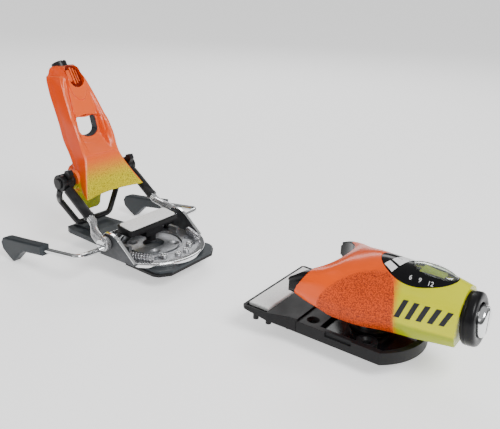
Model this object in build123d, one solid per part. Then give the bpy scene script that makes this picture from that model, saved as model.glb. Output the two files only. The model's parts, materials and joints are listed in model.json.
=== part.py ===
from build123d import *
import math
import os

# Alpine step-in binding pair: a turntable heel unit with its brake, and a toe unit in front of it.
# Millimetres. +X points towards the ski's tip, +Y to the left, +Z up. The origin is the turntable's
# axis on the ski's top surface.

# ---------------------------------------------------------------- driving dimensions
SCREW_R = 2.8
SCREW_HEAD_R = 4.6
RUNNING = 0.05

BASE_TOP = 5.0
RAMP_TOP = 7.2
UNDER_PLATE_TOP = 2.6
HEEL_PLATE_HALF = [(-94, 19.5), (-88.7, 21.4), (-48, 23.6), (-2, 32.8), (2, 35.6), (35, 37), (40, 35), (46, 26)]
HEEL_SCREW_X = 28.0
HEEL_SCREW_Y = 24.0
HUB_R = 25.0
HUB_TOP = 8.4
HUB_WELL_R = 9.5

PAN_R = 40.0
RIM_R = 45.5
PAN_BOTTOM = 5.3
PAN_TOP = 8.2
FLANGE_IN = 40.1
FLANGE_OUT = 42.3
FLANGE_OUTLINE = [(-26, 6), (-26, 11.5), (-21, 17), (-18.5, 23), (-14, 27), (-6, 27), (-0.6, 25), (19.2, 8), (19.2, 6)]

ARM_PIVOT = (-12.3, 19.15)
ARM_PIVOT_R = 4.0
ARM_Y = 38.0
LUG_IN = 42.8
LUG_OUT = 48.0
ROD_ROOT = (-34.4, 31.2)
ROD_R = 3.5
ROD_LENGTH = 26.0
SLEEVE_R = 4.4
SLEEVE_START = 4.4
SLEEVE_END = 36.6
SPRING_PLAY = 4.2

AXLE = (-71.0, 58.2)
AXLE_R = 3.5
AXLE_HALF = 42.6
BOSS_R = 7.6
BOSS_IN = 33.6
BOSS_OUT = 38.0
BAIL_IN = 38.4
BAIL_OUT = 42.4
BAIL_WIRE_R = 2.7

BRAKE_AXIS = (-18.5, 11.5)
BRAKE_WIRE_R = 2.3
BRAKE_HALF = 73.7
PAD_PIVOT = (-8.5, 25.2)
PAD_HALF = 27.8
PEDAL_STEM_FOOT = 11.1

TOE_X = 180.2
TOE_SCREW_X = 41.4
TOE_SCREW_Y = 51.2
TOE_PLATE_HALF = 34.5
TOE_PLATE_TOP = 9.0
TOE_PIVOT_X = TOE_X + 32.0
TOE_PIVOT_R = 7.0
TOE_LIFT_Z = 24.0
TOE_SPRING_Z = 36.0
TOE_BARREL_R = 12.5
CAP_R = 17.9
AFD_Z = 12.2
AFD_HALF = 37.0

# along the arms, from the rod's root towards the rear axle
ARM_RUN = math.hypot(AXLE[0] - ROD_ROOT[0], AXLE[1] - ROD_ROOT[1])
ARM_DIR = ((AXLE[0] - ROD_ROOT[0]) / ARM_RUN, (AXLE[1] - ROD_ROOT[1]) / ARM_RUN)

# the heel spring's line, leaning back with the housing
SPRING_FOOT = (-95.5, 121.0)
SPRING_LEAN = math.radians(30.0)
SPRING_DIR = (-math.sin(SPRING_LEAN), math.cos(SPRING_LEAN))
BARREL_R = 6.8
BARREL_FOOT = -14.0
BARREL_HEAD = 24.0
HEEL_SCREW_R = 2.6
HEEL_SCREW_HEAD_R = 6.8
HEEL_HEAD_START = 29.6
HEEL_SCREW_TOP = 37.2
WINDOW_LENGTH = 19.0
WINDOW_WIDTH = 10.6


# ---------------------------------------------------------------- helpers
def save(name, shape):
    """Writes one sub-part."""
    export_step(shape, f"parts/{name}.step")


def rod(start, end, radius):
    """A round bar between two points."""
    axis = Vector(*end) - Vector(*start)
    return Plane(origin=start, z_dir=axis) * extrude(Circle(radius), axis.length)


def pin(x, z, y0, y1, radius):
    """A round bar along Y."""
    return rod((x, y0, z), (x, y1, z), radius)


def disc(x, y, z0, z1, radius):
    """A round bar along Z."""
    return rod((x, y, z0), (x, y, z1), radius)


def plate_z(points, z0, z1):
    """A flat plate with an outline in X and Y."""
    return extrude(Plane.XY.offset(z0) * make_face(Polyline(*points, close=True)), z1 - z0)


def plate_y(points, y0, y1):
    """A flat plate with an outline in X and Z."""
    face = make_face(Polyline(*[(x, y0, z) for x, z in points], close=True))
    return extrude(face, amount=y1 - y0, dir=(0, 1, 0))


def block(x0, x1, y0, y1, z0, z1):
    """A box between its limits."""
    return Location(((x0 + x1) / 2, (y0 + y1) / 2, (z0 + z1) / 2)) * Box(x1 - x0, y1 - y0, z1 - z0)


def both_sides(half):
    """A closed outline from its half with positive Y, listed from the rear to the front."""
    return half + [(x, -y) for x, y in reversed(half)]


def left_of(shape):
    """The mirror image of a right-hand piece."""
    return mirror(shape, about=Plane.XZ)


def bent_wire(points, bends, radius):
    """A round wire along straight runs joined by arcs."""
    path = FilletPolyline(*points, radius=bends)
    return sweep((path ^ 0) * Circle(radius), path)


def coil(start, end, coil_r, wire_r, turns):
    """A compression spring with its ends at two points."""
    axis = Vector(*end) - Vector(*start)
    height = axis.length - 2 * wire_r
    path = Helix(height / turns, height, coil_r)
    spring = sweep((path ^ 0) * Circle(wire_r), path, is_frenet=True)
    return Plane(origin=start, z_dir=axis) * (Location((0, 0, wire_r)) * spring)


def ring_loft(sections):
    """A solid through closed outlines that all have the same number of corners."""
    faces = [make_face(Polyline(*points, close=True)) for points in sections]
    return loft(faces, ruled=True)


def softened(shape, size, chosen):
    """Rounds the chosen edges, or leaves them sharp where the round would not fit."""
    try:
        return fillet(chosen(shape), size)
    except ValueError:
        return shape


def arm_point(distance, side=0.0):
    """A point on the arm's line, a distance from the rod's root and off to one side."""
    x = ROD_ROOT[0] + ARM_DIR[0] * distance - ARM_DIR[1] * side
    z = ROD_ROOT[1] + ARM_DIR[1] * distance + ARM_DIR[0] * side
    return x, z


def spring_point(distance, back=0.0):
    """A point on the heel spring's line; back moves it square to the line, to the rear."""
    x = SPRING_FOOT[0] + SPRING_DIR[0] * distance - SPRING_DIR[1] * back
    z = SPRING_FOOT[1] + SPRING_DIR[1] * distance + SPRING_DIR[0] * back
    return x, z


def spring_rod(start, end, radius):
    """A round bar along the heel spring's line."""
    a = spring_point(start)
    b = spring_point(end)
    return rod((a[0], 0, a[1]), (b[0], 0, b[1]), radius)


def heel_screw_places():
    """The four heel screws, as X and Y."""
    return [(sx * HEEL_SCREW_X / 2, sy * HEEL_SCREW_Y / 2) for sx in (-1, 1) for sy in (-1, 1)]


def toe_screw_places():
    """The four toe screws, as X and Y."""
    return [(TOE_X + x, sy * TOE_SCREW_Y / 2) for x in (0, TOE_SCREW_X) for sy in (-1, 1)]


def with_screws(shape, places, z0, z1, head_z=None):
    """Drills the screw holes, with a countersink below head_z."""
    for x, y in places:
        shape -= disc(x, y, z0 - 1, z1 + 1, SCREW_R)
        if head_z is not None:
            depth = SCREW_HEAD_R - SCREW_R
            shape -= Location((x, y, head_z - depth / 2)) * Cone(SCREW_R, SCREW_HEAD_R, depth)
    return shape


# ---------------------------------------------------------------- heel unit: what the ski carries
def heel_base_plate():
    """Moulded plate under the whole heel, with a ramped tail."""
    tail = [(x, y) for x, y in HEEL_PLATE_HALF if x <= -2]
    low = plate_z(both_sides(tail[:3] + [(-30, 27.2)]), 0, BASE_TOP)
    over = [(-30, 27.2)] + [(x, y - 1.2) for x, y in HEEL_PLATE_HALF[3:]]
    high = plate_z(both_sides(over), UNDER_PLATE_TOP, BASE_TOP)
    ramp = plate_y([(-93, BASE_TOP), (-86, RAMP_TOP), (-60, RAMP_TOP), (-50, BASE_TOP)], -14, 14)
    plate = low + high + ramp
    plate = with_screws(plate, heel_screw_places(), 0, BASE_TOP)
    return softened(plate, 1.2, lambda s: s.edges().filter_by(Axis.Z).filter_by_position(Axis.X, -95, -80))


def heel_under_plate():
    """Black riser under the front of the heel unit."""
    half = [(-29.8, 27.2)] + HEEL_PLATE_HALF[3:]
    plate = plate_z(both_sides(half), 0, UNDER_PLATE_TOP)
    return with_screws(plate, heel_screw_places(), 0, UNDER_PLATE_TOP)


def turntable_hub():
    """Steel hub that the turntable turns on, held down by the four screws."""
    hub = disc(0, 0, BASE_TOP, HUB_TOP, HUB_R - 2) + disc(0, 0, BASE_TOP, BASE_TOP + 1.4, HUB_R)
    hub -= disc(0, 0, 0, HUB_TOP + 1, HUB_WELL_R)
    return with_screws(hub, heel_screw_places(), BASE_TOP, HUB_TOP, HUB_TOP)


# ---------------------------------------------------------------- heel unit: turntable
def turntable_pan():
    """Cast ring with pockets, walls and a raised rear bridge."""
    pan = disc(0, 0, PAN_BOTTOM, PAN_TOP, PAN_R) - disc(0, 0, 0, 20, HUB_R + 0.4)
    pan = pan & block(-PAN_R, PAN_R, -FLANGE_IN, FLANGE_IN, 0, 30)
    for angle in (-62, -38, 38, 62):
        a = math.radians(angle)
        pan -= disc(33 * math.cos(a), 33 * math.sin(a), PAN_BOTTOM + 0.9, 20, 4.2)
    for side in (-1, 1):
        wall = block(-8, 2, 28, 31, PAN_TOP - 1, 14.5)
        pan += wall if side > 0 else left_of(wall)
    bridge = block(-35, -28.4, -19, 19, PAN_TOP, 14) - block(-33.4, -30, -16, 16, PAN_TOP + 1, 20)
    return pan + bridge


def turntable_rim():
    """Chromed guide ring round the pan, flat along both sides."""
    band = disc(0, 0, PAN_BOTTOM, PAN_TOP + 0.6, RIM_R) - disc(0, 0, 0, 20, PAN_R + 0.02)
    band = softened(band, 1.3, lambda s: s.edges().group_by(Axis.Z)[-1])
    return band & block(-60, 60, -FLANGE_IN + 0.05, FLANGE_IN - 0.05, 0, 30)


def turntable_cheek():
    """Pressed steel side cheek that carries one arm's pivot."""
    cheek = plate_y(FLANGE_OUTLINE, -FLANGE_OUT, -FLANGE_IN)
    cheek -= pin(*ARM_PIVOT, -50, -30, ARM_PIVOT_R)
    return cheek - pin(*BRAKE_AXIS, -50, -30, BRAKE_WIRE_R + 0.8)


def rear_cover():
    """Bent bright cover behind the brake pad."""
    outline = [(-27.8, PAN_TOP), (-27.8, 19), (-23, 21.5), (-22.4, 20.6), (-26.6, 18.3), (-26.6, PAN_TOP)]
    return plate_y(outline, -28, 28)


def brake_block():
    """Bearing block for the brake's wire, on the right."""
    body = block(-24.5, -12.5, -39.6, -30.5, PAN_TOP, 14.6) + pin(*BRAKE_AXIS, -39.6, -30.5, 5.0)
    body &= block(-40, 0, -40, 0, PAN_TOP + 0.65, 30)
    return body - pin(*BRAKE_AXIS, -50, 0, BRAKE_WIRE_R + RUNNING)


def arm_pivot_bolt():
    """Shouldered pivot bolt with a slotted head, on the right."""
    bolt = pin(*ARM_PIVOT, -LUG_OUT - 0.3, -FLANGE_IN, ARM_PIVOT_R)
    head = pin(*ARM_PIVOT, -LUG_OUT - 2.0, -LUG_OUT - 0.2, 5.0)
    head = softened(head, 0.5, lambda s: s.edges().group_by(Axis.Y)[0])
    return bolt + head - block(-19, -6, -52, -LUG_OUT - 1.1, ARM_PIVOT[1] - 0.6, ARM_PIVOT[1] + 0.6)


def centring_spring():
    """Spring that brings the turntable back to the middle, on the right."""
    return coil((8, -36.8, 11.5), (27.5, -28.5, 11.5), 2.5, 0.6, 8)


def pan_bolts():
    """Cheese-head bolts in the pan."""
    bolts = []
    for x, y in ((28, 16), (34, 5), (34, -5), (28, -16)):
        head = disc(x, y, PAN_TOP, PAN_TOP + 2.6, 2.9) - disc(x, y, PAN_TOP + 1.2, 20, 1.5)
        bolts.append(softened(head, 0.4, lambda s: s.edges().group_by(Axis.Z)[-1]))
    return Compound(children=bolts)


# ---------------------------------------------------------------- heel unit: brake
def brake_wire():
    """Bent wire from the pad, through its bearing and out to the right-hand tip."""
    bx, bz = BRAKE_AXIS
    points = [(PAD_PIVOT[0], -13, PAD_PIVOT[1]), (PAD_PIVOT[0], -19.5, PAD_PIVOT[1]), (bx, -23.2, bz)]
    points += [(bx, -45.5, bz), (bx + 6.5, -BRAKE_HALF, bz + 4.7), (-48.2, -BRAKE_HALF, bz), (-76, -BRAKE_HALF, 6.2)]
    return bent_wire(points, [2.6, 2.6, 4, 5, 12], BRAKE_WIRE_R)


def brake_tip():
    """Moulded arm end with a hook that digs into the snow, on the right."""
    outline = [(-54.3, 15.6), (-54.3, 6.2), (-81.2, 2.3), (-86.5, -1.5), (-97.3, -11.8), (-103, -9)]
    outline += [(-111.6, -3.2), (-113.4, 3.2), (-110.5, 7.6), (-106.3, 9.1), (-80, 12.2)]
    tip = plate_y(outline, -BRAKE_HALF - 4.6, -BRAKE_HALF + 4.6)
    tip = softened(tip, 1.8, lambda s: s.edges().filter_by(GeomType.LINE).filter_by(Axis.Y, reverse=True))
    return tip - brake_wire()


def brake_pedal():
    """Black body under the boot pad, hung on the two wires, with a stem over the hub's well."""
    outline = [(-14.6, 24.5), (-14.6, 30.2), (2.6, 27.6), (2.6, 24), (0.5, 22), (-12, 22)]
    body = plate_y(outline, -PAD_HALF - 0.8, PAD_HALF + 0.8)
    body = softened(body, 1.2, lambda s: s.edges().filter_by(GeomType.LINE).filter_by(Axis.Y, reverse=True))
    body += block(-9, 2, -10, 10, 17, 23)
    body += disc(-3, 0, PEDAL_STEM_FOOT, 18, 4.4)
    for side in (-1, 1):
        grip = pin(*PAD_PIVOT, -40, -12.8, BRAKE_WIRE_R + RUNNING)
        body -= grip if side < 0 else left_of(grip)
        relief = plate_y([(-22, 10), (-22, 27.6), (-3.6, 27.6), (-3.6, 20)], -24.5, -14.5)
        body -= relief if side < 0 else left_of(relief)
    return body


def brake_pad():
    """White low-friction pad on the pedal."""
    outline = [(-13.8, 30.1), (-13.8, 31.5), (1.8, 29.15), (1.8, 27.73)]
    pad = plate_y(outline, -PAD_HALF, PAD_HALF)
    return softened(pad, 1.0, lambda s: s.edges().filter_by_position(Axis.Y, -29, -27.7).group_by(Axis.Z)[-1])


def brake_spring():
    """Torsion spring round the brake's axis, on the right."""
    return coil((BRAKE_AXIS[0], -30.3, BRAKE_AXIS[1]), (BRAKE_AXIS[0], -26.2, BRAKE_AXIS[1]), 2.85, 0.35, 3)


# ---------------------------------------------------------------- heel unit: arms
def arm_lug():
    """Cast lug that turns on the pivot bolt and cranks inwards to the rod, on the right."""
    hub = pin(*ARM_PIVOT, -LUG_OUT, -LUG_IN, 6.4)
    web = [arm_point(-25, 2.8), arm_point(-25, -9.6), arm_point(-9, -4.9), arm_point(-9, 4.9)]
    blade = plate_y(web, -LUG_OUT, -LUG_IN)
    start = []
    end = []
    for dy, side in ((0, 1), (1, 1), (1, -1), (0, -1)):
        x, z = arm_point(-9.2, side * 4.9)
        start.append((x, -LUG_OUT if dy else -LUG_IN, z))
        x, z = arm_point(0, side * 4.1)
        end.append((x, -ARM_Y - 4.1 if dy else -ARM_Y + 4.1, z))
    crank = ring_loft([start, end])
    lug = hub + blade + crank
    lug -= pin(*ARM_PIVOT, -60, -30, ARM_PIVOT_R + RUNNING)
    return lug


def arm_rod():
    """Bright rod that the right-hand sleeve slides on."""
    x0, z0 = arm_point(0)
    x1, z1 = arm_point(ROD_LENGTH)
    return rod((x0, -ARM_Y, z0), (x1, -ARM_Y, z1), ROD_R)


def arm_sleeve():
    """Black sleeve of the right-hand arm."""
    a = arm_point(SLEEVE_START)
    b = arm_point(SLEEVE_END)
    c = arm_point(SLEEVE_END - 1.8)
    sleeve = rod((a[0], -ARM_Y, a[1]), (b[0], -ARM_Y, b[1]), SLEEVE_R)
    lip = arm_point(SLEEVE_START + 2.4)
    sleeve += rod((a[0], -ARM_Y, a[1]), (lip[0], -ARM_Y, lip[1]), SLEEVE_R + 0.35)
    return sleeve - rod((a[0], -ARM_Y, a[1]), (c[0], -ARM_Y, c[1]), ROD_R + RUNNING)


def axle_boss():
    """Flat eye that joins the right-hand sleeve to the rear axle, with a stop ear above."""
    eye = pin(*AXLE, -BOSS_OUT, -BOSS_IN, BOSS_R)
    neck = [arm_point(SLEEVE_END, 4.2), arm_point(SLEEVE_END, -4.2), arm_point(ARM_RUN, -5.5), arm_point(ARM_RUN, 5.5)]
    eye += plate_y(neck, -BOSS_OUT, -BOSS_IN)
    ear = [(-70, 64), (-67.5, 69.5), (-62.8, 70.5), (-61, 66.5), (-64.5, 61)]
    eye += plate_y(ear, -BOSS_OUT, -BOSS_IN)
    eye = eye - pin(*AXLE, -50, -30, AXLE_R + RUNNING)
    return eye


def heel_axle():
    """Rear axle through both arms, the housing and the bail."""
    return pin(*AXLE, -AXLE_HALF, AXLE_HALF, AXLE_R)


def axle_caps():
    """Retaining caps on the axle's ends."""
    right = pin(*AXLE, -AXLE_HALF - 1.4, -AXLE_HALF, 4.6)
    right = softened(right, 0.6, lambda s: s.edges().group_by(Axis.Y)[0])
    return Compound(children=[right, left_of(right)])


def axle_spacers():
    """Spacers between the housing and the arms."""
    right = pin(*AXLE, -BOSS_IN + 0.1, -28.4, 5.6) - pin(*AXLE, -50, 0, AXLE_R + RUNNING)
    return Compound(children=[right, left_of(right)])


def heel_cam():
    """Flatted cam on the axle that the yoke presses on."""
    cam = pin(*AXLE, -16.5, 16.5, 8.0) - pin(*AXLE, -20, 20, AXLE_R + 0.01)
    return cam - block(AXLE[0] - 9, AXLE[0] + 9, -17, 17, AXLE[1] + 6.4, AXLE[1] + 12)


def pressure_spring():
    """Forward-pressure spring inside the right-hand sleeve."""
    a = arm_point(ROD_LENGTH + SPRING_PLAY)
    b = arm_point(SLEEVE_END - 2.0)
    return coil((a[0], -ARM_Y, a[1]), (b[0], -ARM_Y, b[1]), 2.4, 0.45, 3)


# ---------------------------------------------------------------- heel unit: housing
# Level sections of the housing: height, front middle, front edge and its half width,
# rear edge and its half width, rear middle.
HOUSING_LEVELS = [
    (152.0, -97.5, -101.6, 10.6, -110.0, 14.0, -113.0),
    (146.0, -95.0, -97.8, 12.6, -111.0, 16.6, -119.5),
    (132.0, -90.0, -89.6, 15.9, -107.6, 17.2, -112.0),
    (118.0, -82.6, -81.4, 18.2, -99.6, 19.4, -104.0),
    (110.0, -78.5, -76.9, 19.2, -95.4, 20.2, -97.6),
    (90.0, -69.0, -67.1, 20.6, -87.6, 20.8, -89.8),
    (78.7, -62.0, -61.5, 19.6, -79.5, 22.0, -81.5),
    (60.0, -56.5, -52.6, 27.6, -69.5, 24.5, -71.5),
    (46.2, -51.5, -44.2, 33.0, -54.0, 31.0, -58.5),
]


def housing_outline(level, wall=0.0, open_back=0.0):
    """One level section, drawn in by the wall and pushed out through the back."""
    z, fm, fe, fy, re, ry, rm = level
    half = [(fm - wall, 0), (fe - wall * 1.2, fy - wall), (re - open_back, ry - wall), (rm - open_back, 0)]
    points = half + [(x, -y) for x, y in (half[2], half[1])]
    return [(x, y, z) for x, y in points]


def heel_housing():
    """Leaning shell with a heel claw below, a window in front and an open back over the mechanism."""
    shell = ring_loft([housing_outline(level) for level in HOUSING_LEVELS])
    hollow = ring_loft([housing_outline(level, 2.8, 14.0) for level in HOUSING_LEVELS[3:]])
    shell -= hollow
    shell -= block(-120, AXLE[0] + 9, -22, 22, 30, 70)
    shell -= block(-120, -60, -40, 40, 30, 49.5)
    shell -= spring_rod(BARREL_FOOT, BARREL_HEAD, BARREL_R)
    shell -= spring_rod(BARREL_HEAD, HEEL_HEAD_START, 3.6)
    shell -= spring_rod(HEEL_HEAD_START - 0.3, BARREL_HEAD + 25, HEEL_SCREW_HEAD_R + 0.4)
    shell -= through_hole()
    shell -= window_recess()
    cup = [(-30, 31), (-38.0, 30.5), (-46.5, 20), (-50.5, 8), (-50.5, -8), (-46.5, -20), (-38.0, -30.5), (-30, -31)]
    shell -= plate_z(cup, 30, 52)
    ears = pin(*AXLE, -28.0, 28.0, 8.5) & block(-90, -50, -28, 28, 49.5, 66)
    ears -= block(-90, -50, -19.8, 19.8, 40, 70)
    shell += ears
    return shell - pin(*AXLE, -50, 50, AXLE_R + RUNNING)


def through_hole():
    """Window right through the housing's web, round at the bottom."""
    x = -90
    width = 18.4
    upper = block(x - 30, x + 40, -width / 2, width / 2, 99, 110)
    lower = Plane.YZ * Location((0, 99)) * scale(Circle(width / 2), by=(1, 0.72, 1))
    return upper + Location((x - 30, 0, 0)) * extrude(lower, 70)


def window_frame():
    """Plane of the window, square to the spring's line, facing forwards."""
    x, z = spring_point(19.0, -BARREL_R + 2.4)
    return Plane(origin=(x, 0, z), x_dir=(0, 1, 0), z_dir=(SPRING_DIR[1], 0, -SPRING_DIR[0]))


def window_recess():
    """Oval recess in the top of the housing's front."""
    return window_frame() * extrude(SlotOverall(WINDOW_LENGTH, WINDOW_WIDTH, rotation=90), 25)


def heel_window():
    """Ribbed red insert behind the window, with a slot over the indicator."""
    insert = window_frame() * extrude(SlotOverall(WINDOW_LENGTH - 0.3, WINDOW_WIDTH - 0.3, rotation=90), 5.2)
    insert -= spring_rod(BARREL_FOOT, BARREL_HEAD, BARREL_R + 0.05)
    insert -= spring_rod(BARREL_HEAD - 1, BARREL_HEAD + 10, 3.6)
    return insert - window_frame() * extrude(SlotOverall(12.5, 3.4, rotation=90), 10)


def heel_treadle():
    """Textured lobe behind and below the axle, pressed by the boot or a pole."""
    levels = [
        (66.0, -81.2, -93.0, 15.5),
        (50.0, -81.2, -96.0, 16.2),
        (37.0, -82.0, -95.6, 16.0),
        (26.0, -81.6, -88.5, 13.6),
        (20.4, -80.6, -84.6, 11.6),
    ]
    sections = []
    for z, front, rear, half in levels:
        points = [(front, half), (rear + 3, half), (rear, half - 3.5)]
        outline = [(x, y, z) for x, y in points] + [(x, -y, z) for x, y in reversed(points)]
        sections.append(outline)
    return ring_loft(sections)


def heel_yoke():
    """Yoke whose two legs pass the through hole and carry the spring's load down to the cam."""
    stem = spring_rod(-11, -0.2, BARREL_R - 0.4)
    bar = [(-84.6, 113.0), (-84.6, 109.0), (-97.0, 109.0), (-97.0, 113.0)]
    leg = plate_y([(-84.6, 110.0), (-88.0, 110.0), (-72.5, 69.0), (-68.0, 69.0)], -15.2, -12.0)
    shoe = plate_y([(-79, 70), (-79, 66.2), (-66, 66.2), (-66, 70)], -15.2, 15.2)
    return stem + plate_y(bar, -15.2, 15.2) + leg + left_of(leg) + shoe


def heel_spring():
    """Release spring in the top of the housing."""
    a = spring_point(0)
    b = spring_point(14.8)
    return coil((a[0], 0, a[1]), (b[0], 0, b[1]), 4.8, 1.0, 4)


def heel_indicator():
    """Threaded follower above the spring, seen through the window's slot."""
    return spring_rod(15, 19, BARREL_R - 0.4) - spring_rod(12, 25, HEEL_SCREW_R + RUNNING)


def heel_adjust_screw():
    """Release adjusting screw with a slotted head at the housing's top."""
    screw = spring_rod(10, HEEL_HEAD_START + 0.1, HEEL_SCREW_R)
    screw += spring_rod(HEEL_HEAD_START, HEEL_SCREW_TOP, HEEL_SCREW_HEAD_R)
    low, high = HEEL_SCREW_TOP - 1.8, HEEL_SCREW_TOP + 2
    corners = [spring_point(low, -10), spring_point(low, 10), spring_point(high, 10), spring_point(high, -10)]
    return screw - plate_y(corners, -0.8, 0.8)


# ---------------------------------------------------------------- heel unit: bail
def release_bail():
    """Wire loop hung from the rear axle."""
    outer = BAIL_IN + BAIL_WIRE_R
    points = [(-71.6, -outer, 51.8), (-73.6, -outer, 46.6), (-81.6, -34.8, 38.6), (-78.3, -18.8, 12.7)]
    points += [(x, -y, z) for x, y, z in reversed(points)]
    loop = bent_wire(points, [5, 6, 7, 7, 6, 5], BAIL_WIRE_R)
    return loop - bail_hub_blank() - left_of(bail_hub_blank())


def bail_hub_blank():
    """Round hub of the bail, without its bore."""
    return pin(*AXLE, -BAIL_OUT, -BAIL_IN, BOSS_R)


def bail_hubs():
    """Two hubs that the bail's ends are fixed in."""
    right = bail_hub_blank() - pin(*AXLE, -60, -30, AXLE_R + RUNNING)
    right = softened(right, 0.8, lambda s: s.edges().group_by(Axis.Y)[0].group_by(SortBy.RADIUS)[-1])
    return Compound(children=[right, left_of(right)])


# ---------------------------------------------------------------- toe unit: what the ski carries
def toe_nose(inset, z0, z1):
    """Plan outline of the toe plate with its round nose, drawn in by an inset."""
    half = TOE_PLATE_HALF - inset
    outline = Polyline((TOE_X + 55, -half), (TOE_X - 13 + inset, -half), (TOE_X - 13 + inset, half), (TOE_X + 55, half))
    nose = ThreePointArc((TOE_X + 55, half), (TOE_X + 71.8 - inset, 0), (TOE_X + 55, -half))
    return extrude(Plane.XY.offset(z0) * make_face(outline + nose), z1 - z0)


def toe_base_plate():
    """Black moulded toe plate with a rim and a recess."""
    plate = toe_nose(0, 0, TOE_PLATE_TOP)
    plate -= toe_nose(4.2, 4.4, 20) & block(TOE_X + 8, TOE_X + 90, -40, 40, 0, 20)
    for x, y in toe_screw_places():
        plate += disc(x, y, 1, TOE_PLATE_TOP, 7.2) & toe_nose(0, 0, 30)
    plate += disc(TOE_PIVOT_X, 0, 2, 7.0, 15)
    plate -= disc(TOE_PIVOT_X, 0, -1, 20, TOE_PIVOT_R)
    for low, high in ((33.4, 36), (-36, -33.4)):
        plate -= block(TOE_X + 14, TOE_X + 34, low, high, 5.4, 20)
    return with_screws(plate, toe_screw_places(), 0, TOE_PLATE_TOP, TOE_PLATE_TOP)


def toe_floor_plate():
    """Glossy reinforcing plate lying in the recess."""
    plate = toe_nose(4.5, 4.5, 5.7) & block(TOE_X + 8.3, TOE_X + 90, -40, 40, 0, 20)
    plate -= disc(TOE_PIVOT_X, 0, 0, 20, 15.3)
    for x, y in toe_screw_places():
        plate -= disc(x, y, 0, 20, 7.5)
    return plate


def toe_pivot_post():
    """Steel post that the toe head turns on."""
    post = disc(TOE_PIVOT_X, 0, 0.4, 41, TOE_PIVOT_R)
    post += disc(TOE_PIVOT_X, 0, 7.1, 10.5, 12)
    return softened(post, 1.0, lambda s: s.edges().group_by(Axis.Z)[-1])


def afd_carrier():
    """Carrier for the sole plate, standing out behind the toe plate."""
    half = [(-50.4, 40.4), (-48.2, 42.2), (-30, 41), (-14, 35.4), (-8, 34.5)]
    outline = both_sides([(TOE_X + x, y) for x, y in half])
    body = plate_z(outline, 0.6, 10.6)
    body -= toe_nose(-0.1, -1, TOE_PLATE_TOP + 0.1)
    under = [(TOE_X - 60, -1), (TOE_X - 60, 8.4), (TOE_X - 49, 8.0), (TOE_X - 32, 4.8), (TOE_X - 16, 1.2), (TOE_X - 13, -1)]
    body -= plate_y(under, -50, 50)
    for x in (-40.5, -29.5):
        for side in (-1, 1):
            body += disc(TOE_X + x, side * 38, 1.0, 8.5, 2.1)
    body -= block(TOE_X - 48, TOE_X - 30.4, -40.2, 40.2, 9.2, 20)
    channel = block(TOE_X - 43, TOE_X - 35.4, -30, 30, 6.9, 20)
    return body - channel


def afd_pad():
    """White low-friction strip under the boot's toe, free to slide sideways."""
    strip = block(TOE_X - 47.4, TOE_X - 31.0, -AFD_HALF, AFD_HALF, 9.5, AFD_Z)
    strip = softened(strip, 0.8, lambda s: s.edges().group_by(Axis.Z)[-1])
    return strip + block(TOE_X - 42.6, TOE_X - 35.8, -16, 16, 7.3, 9.5)


def afd_springs():
    """Two springs that bring the strip back to the middle."""
    right = coil((TOE_X - 39.2, -29.6, 8.2), (TOE_X - 39.2, -19.2, 8.2), 0.95, 0.25, 8)
    return Compound(children=[right, left_of(right)])


# ---------------------------------------------------------------- toe unit: head
# Upright cross sections of the toe head: X, bottom edge, side, shoulder, top edge and top middle,
# each as half width and height.
TOE_SECTIONS = [
    (-14.0, (35.5, 31.0), (39.0, 35.0), (38.4, 40.0), (36.6, 44.0), 45.0),
    (-4.0, (33.6, 27.0), (38.0, 35.0), (36.8, 44.0), (31.0, 49.0), 50.0),
    (6.0, (32.0, 23.5), (36.0, 34.0), (33.5, 45.5), (27.0, 51.5), 53.0),
    (17.6, (28.5, 18.0), (32.5, 31.0), (27.5, 46.5), (17.0, 56.0), 58.4),
    (34.0, (26.0, 17.8), (29.0, 29.0), (22.5, 46.5), (13.6, 57.8), 62.0),
    (53.0, (21.5, 18.4), (25.0, 27.0), (19.6, 46.6), (12.5, 57.4), 61.8),
    (72.0, (19.0, 19.0), (22.8, 28.0), (19.0, 46.8), (12.2, 57.0), 61.0),
    (84.0, (16.8, 19.4), (21.0, 28.5), (18.0, 46.0), (11.5, 55.6), 59.4),
    (96.0, (14.5, 19.8), (19.6, 29.0), (17.3, 45.5), (10.8, 52.8), 56.0),
]
SOCKET_X = -31.5
SOCKET_R = 41.4
DECK_X = 61.0
DECK_HALF = (26.0, 16.6)


def toe_section(section, inset=0.0):
    """One cross section of the toe head."""
    x, low, side, shoulder, top, crown = section
    half = [low, side, shoulder, top]
    points = [(y - inset, z - (inset if z > 45 else 0)) for y, z in half]
    ring = [(TOE_X + x, y, z) for y, z in points]
    ring.append((TOE_X + x, 0, crown - inset))
    ring += [(TOE_X + x, -y, z) for y, z in reversed(points)]
    return ring


def toe_housing():
    """Toe head: two wings round the boot's toe, and a body over the spring."""
    head = ring_loft([toe_section(s) for s in TOE_SECTIONS])
    head -= disc(TOE_X + SOCKET_X, 0, 0, 80, SOCKET_R)
    head -= block(TOE_X + 19.5, TOE_X + 47, -15.5, 15.5, 0, 46.5)
    head -= pin(TOE_PIVOT_X, TOE_LIFT_Z, -19.8, 19.8, 3.0 + RUNNING)
    head -= rod((TOE_X + 40, 0, TOE_SPRING_Z), (TOE_X + 110, 0, TOE_SPRING_Z), TOE_BARREL_R)
    head -= deck_field(0) - deck_floor()
    head -= block(TOE_X + 58, TOE_X + 84, -3.2, 3.2, 40, 63)
    for side in (-1, 1):
        head -= wing_cut(side)
    return head


def deck_field(gap):
    """Upright oval prism over the scale panel, drawn in by a gap."""
    oval = Ellipse(DECK_HALF[0] - gap, DECK_HALF[1] - gap)
    return Plane(origin=(TOE_X + DECK_X, 0, 46)) * extrude(oval, 20)


def deck_floor():
    """The head's form below the panel."""
    return ring_loft([toe_section(s, 1.3) for s in TOE_SECTIONS[3:]])


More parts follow.
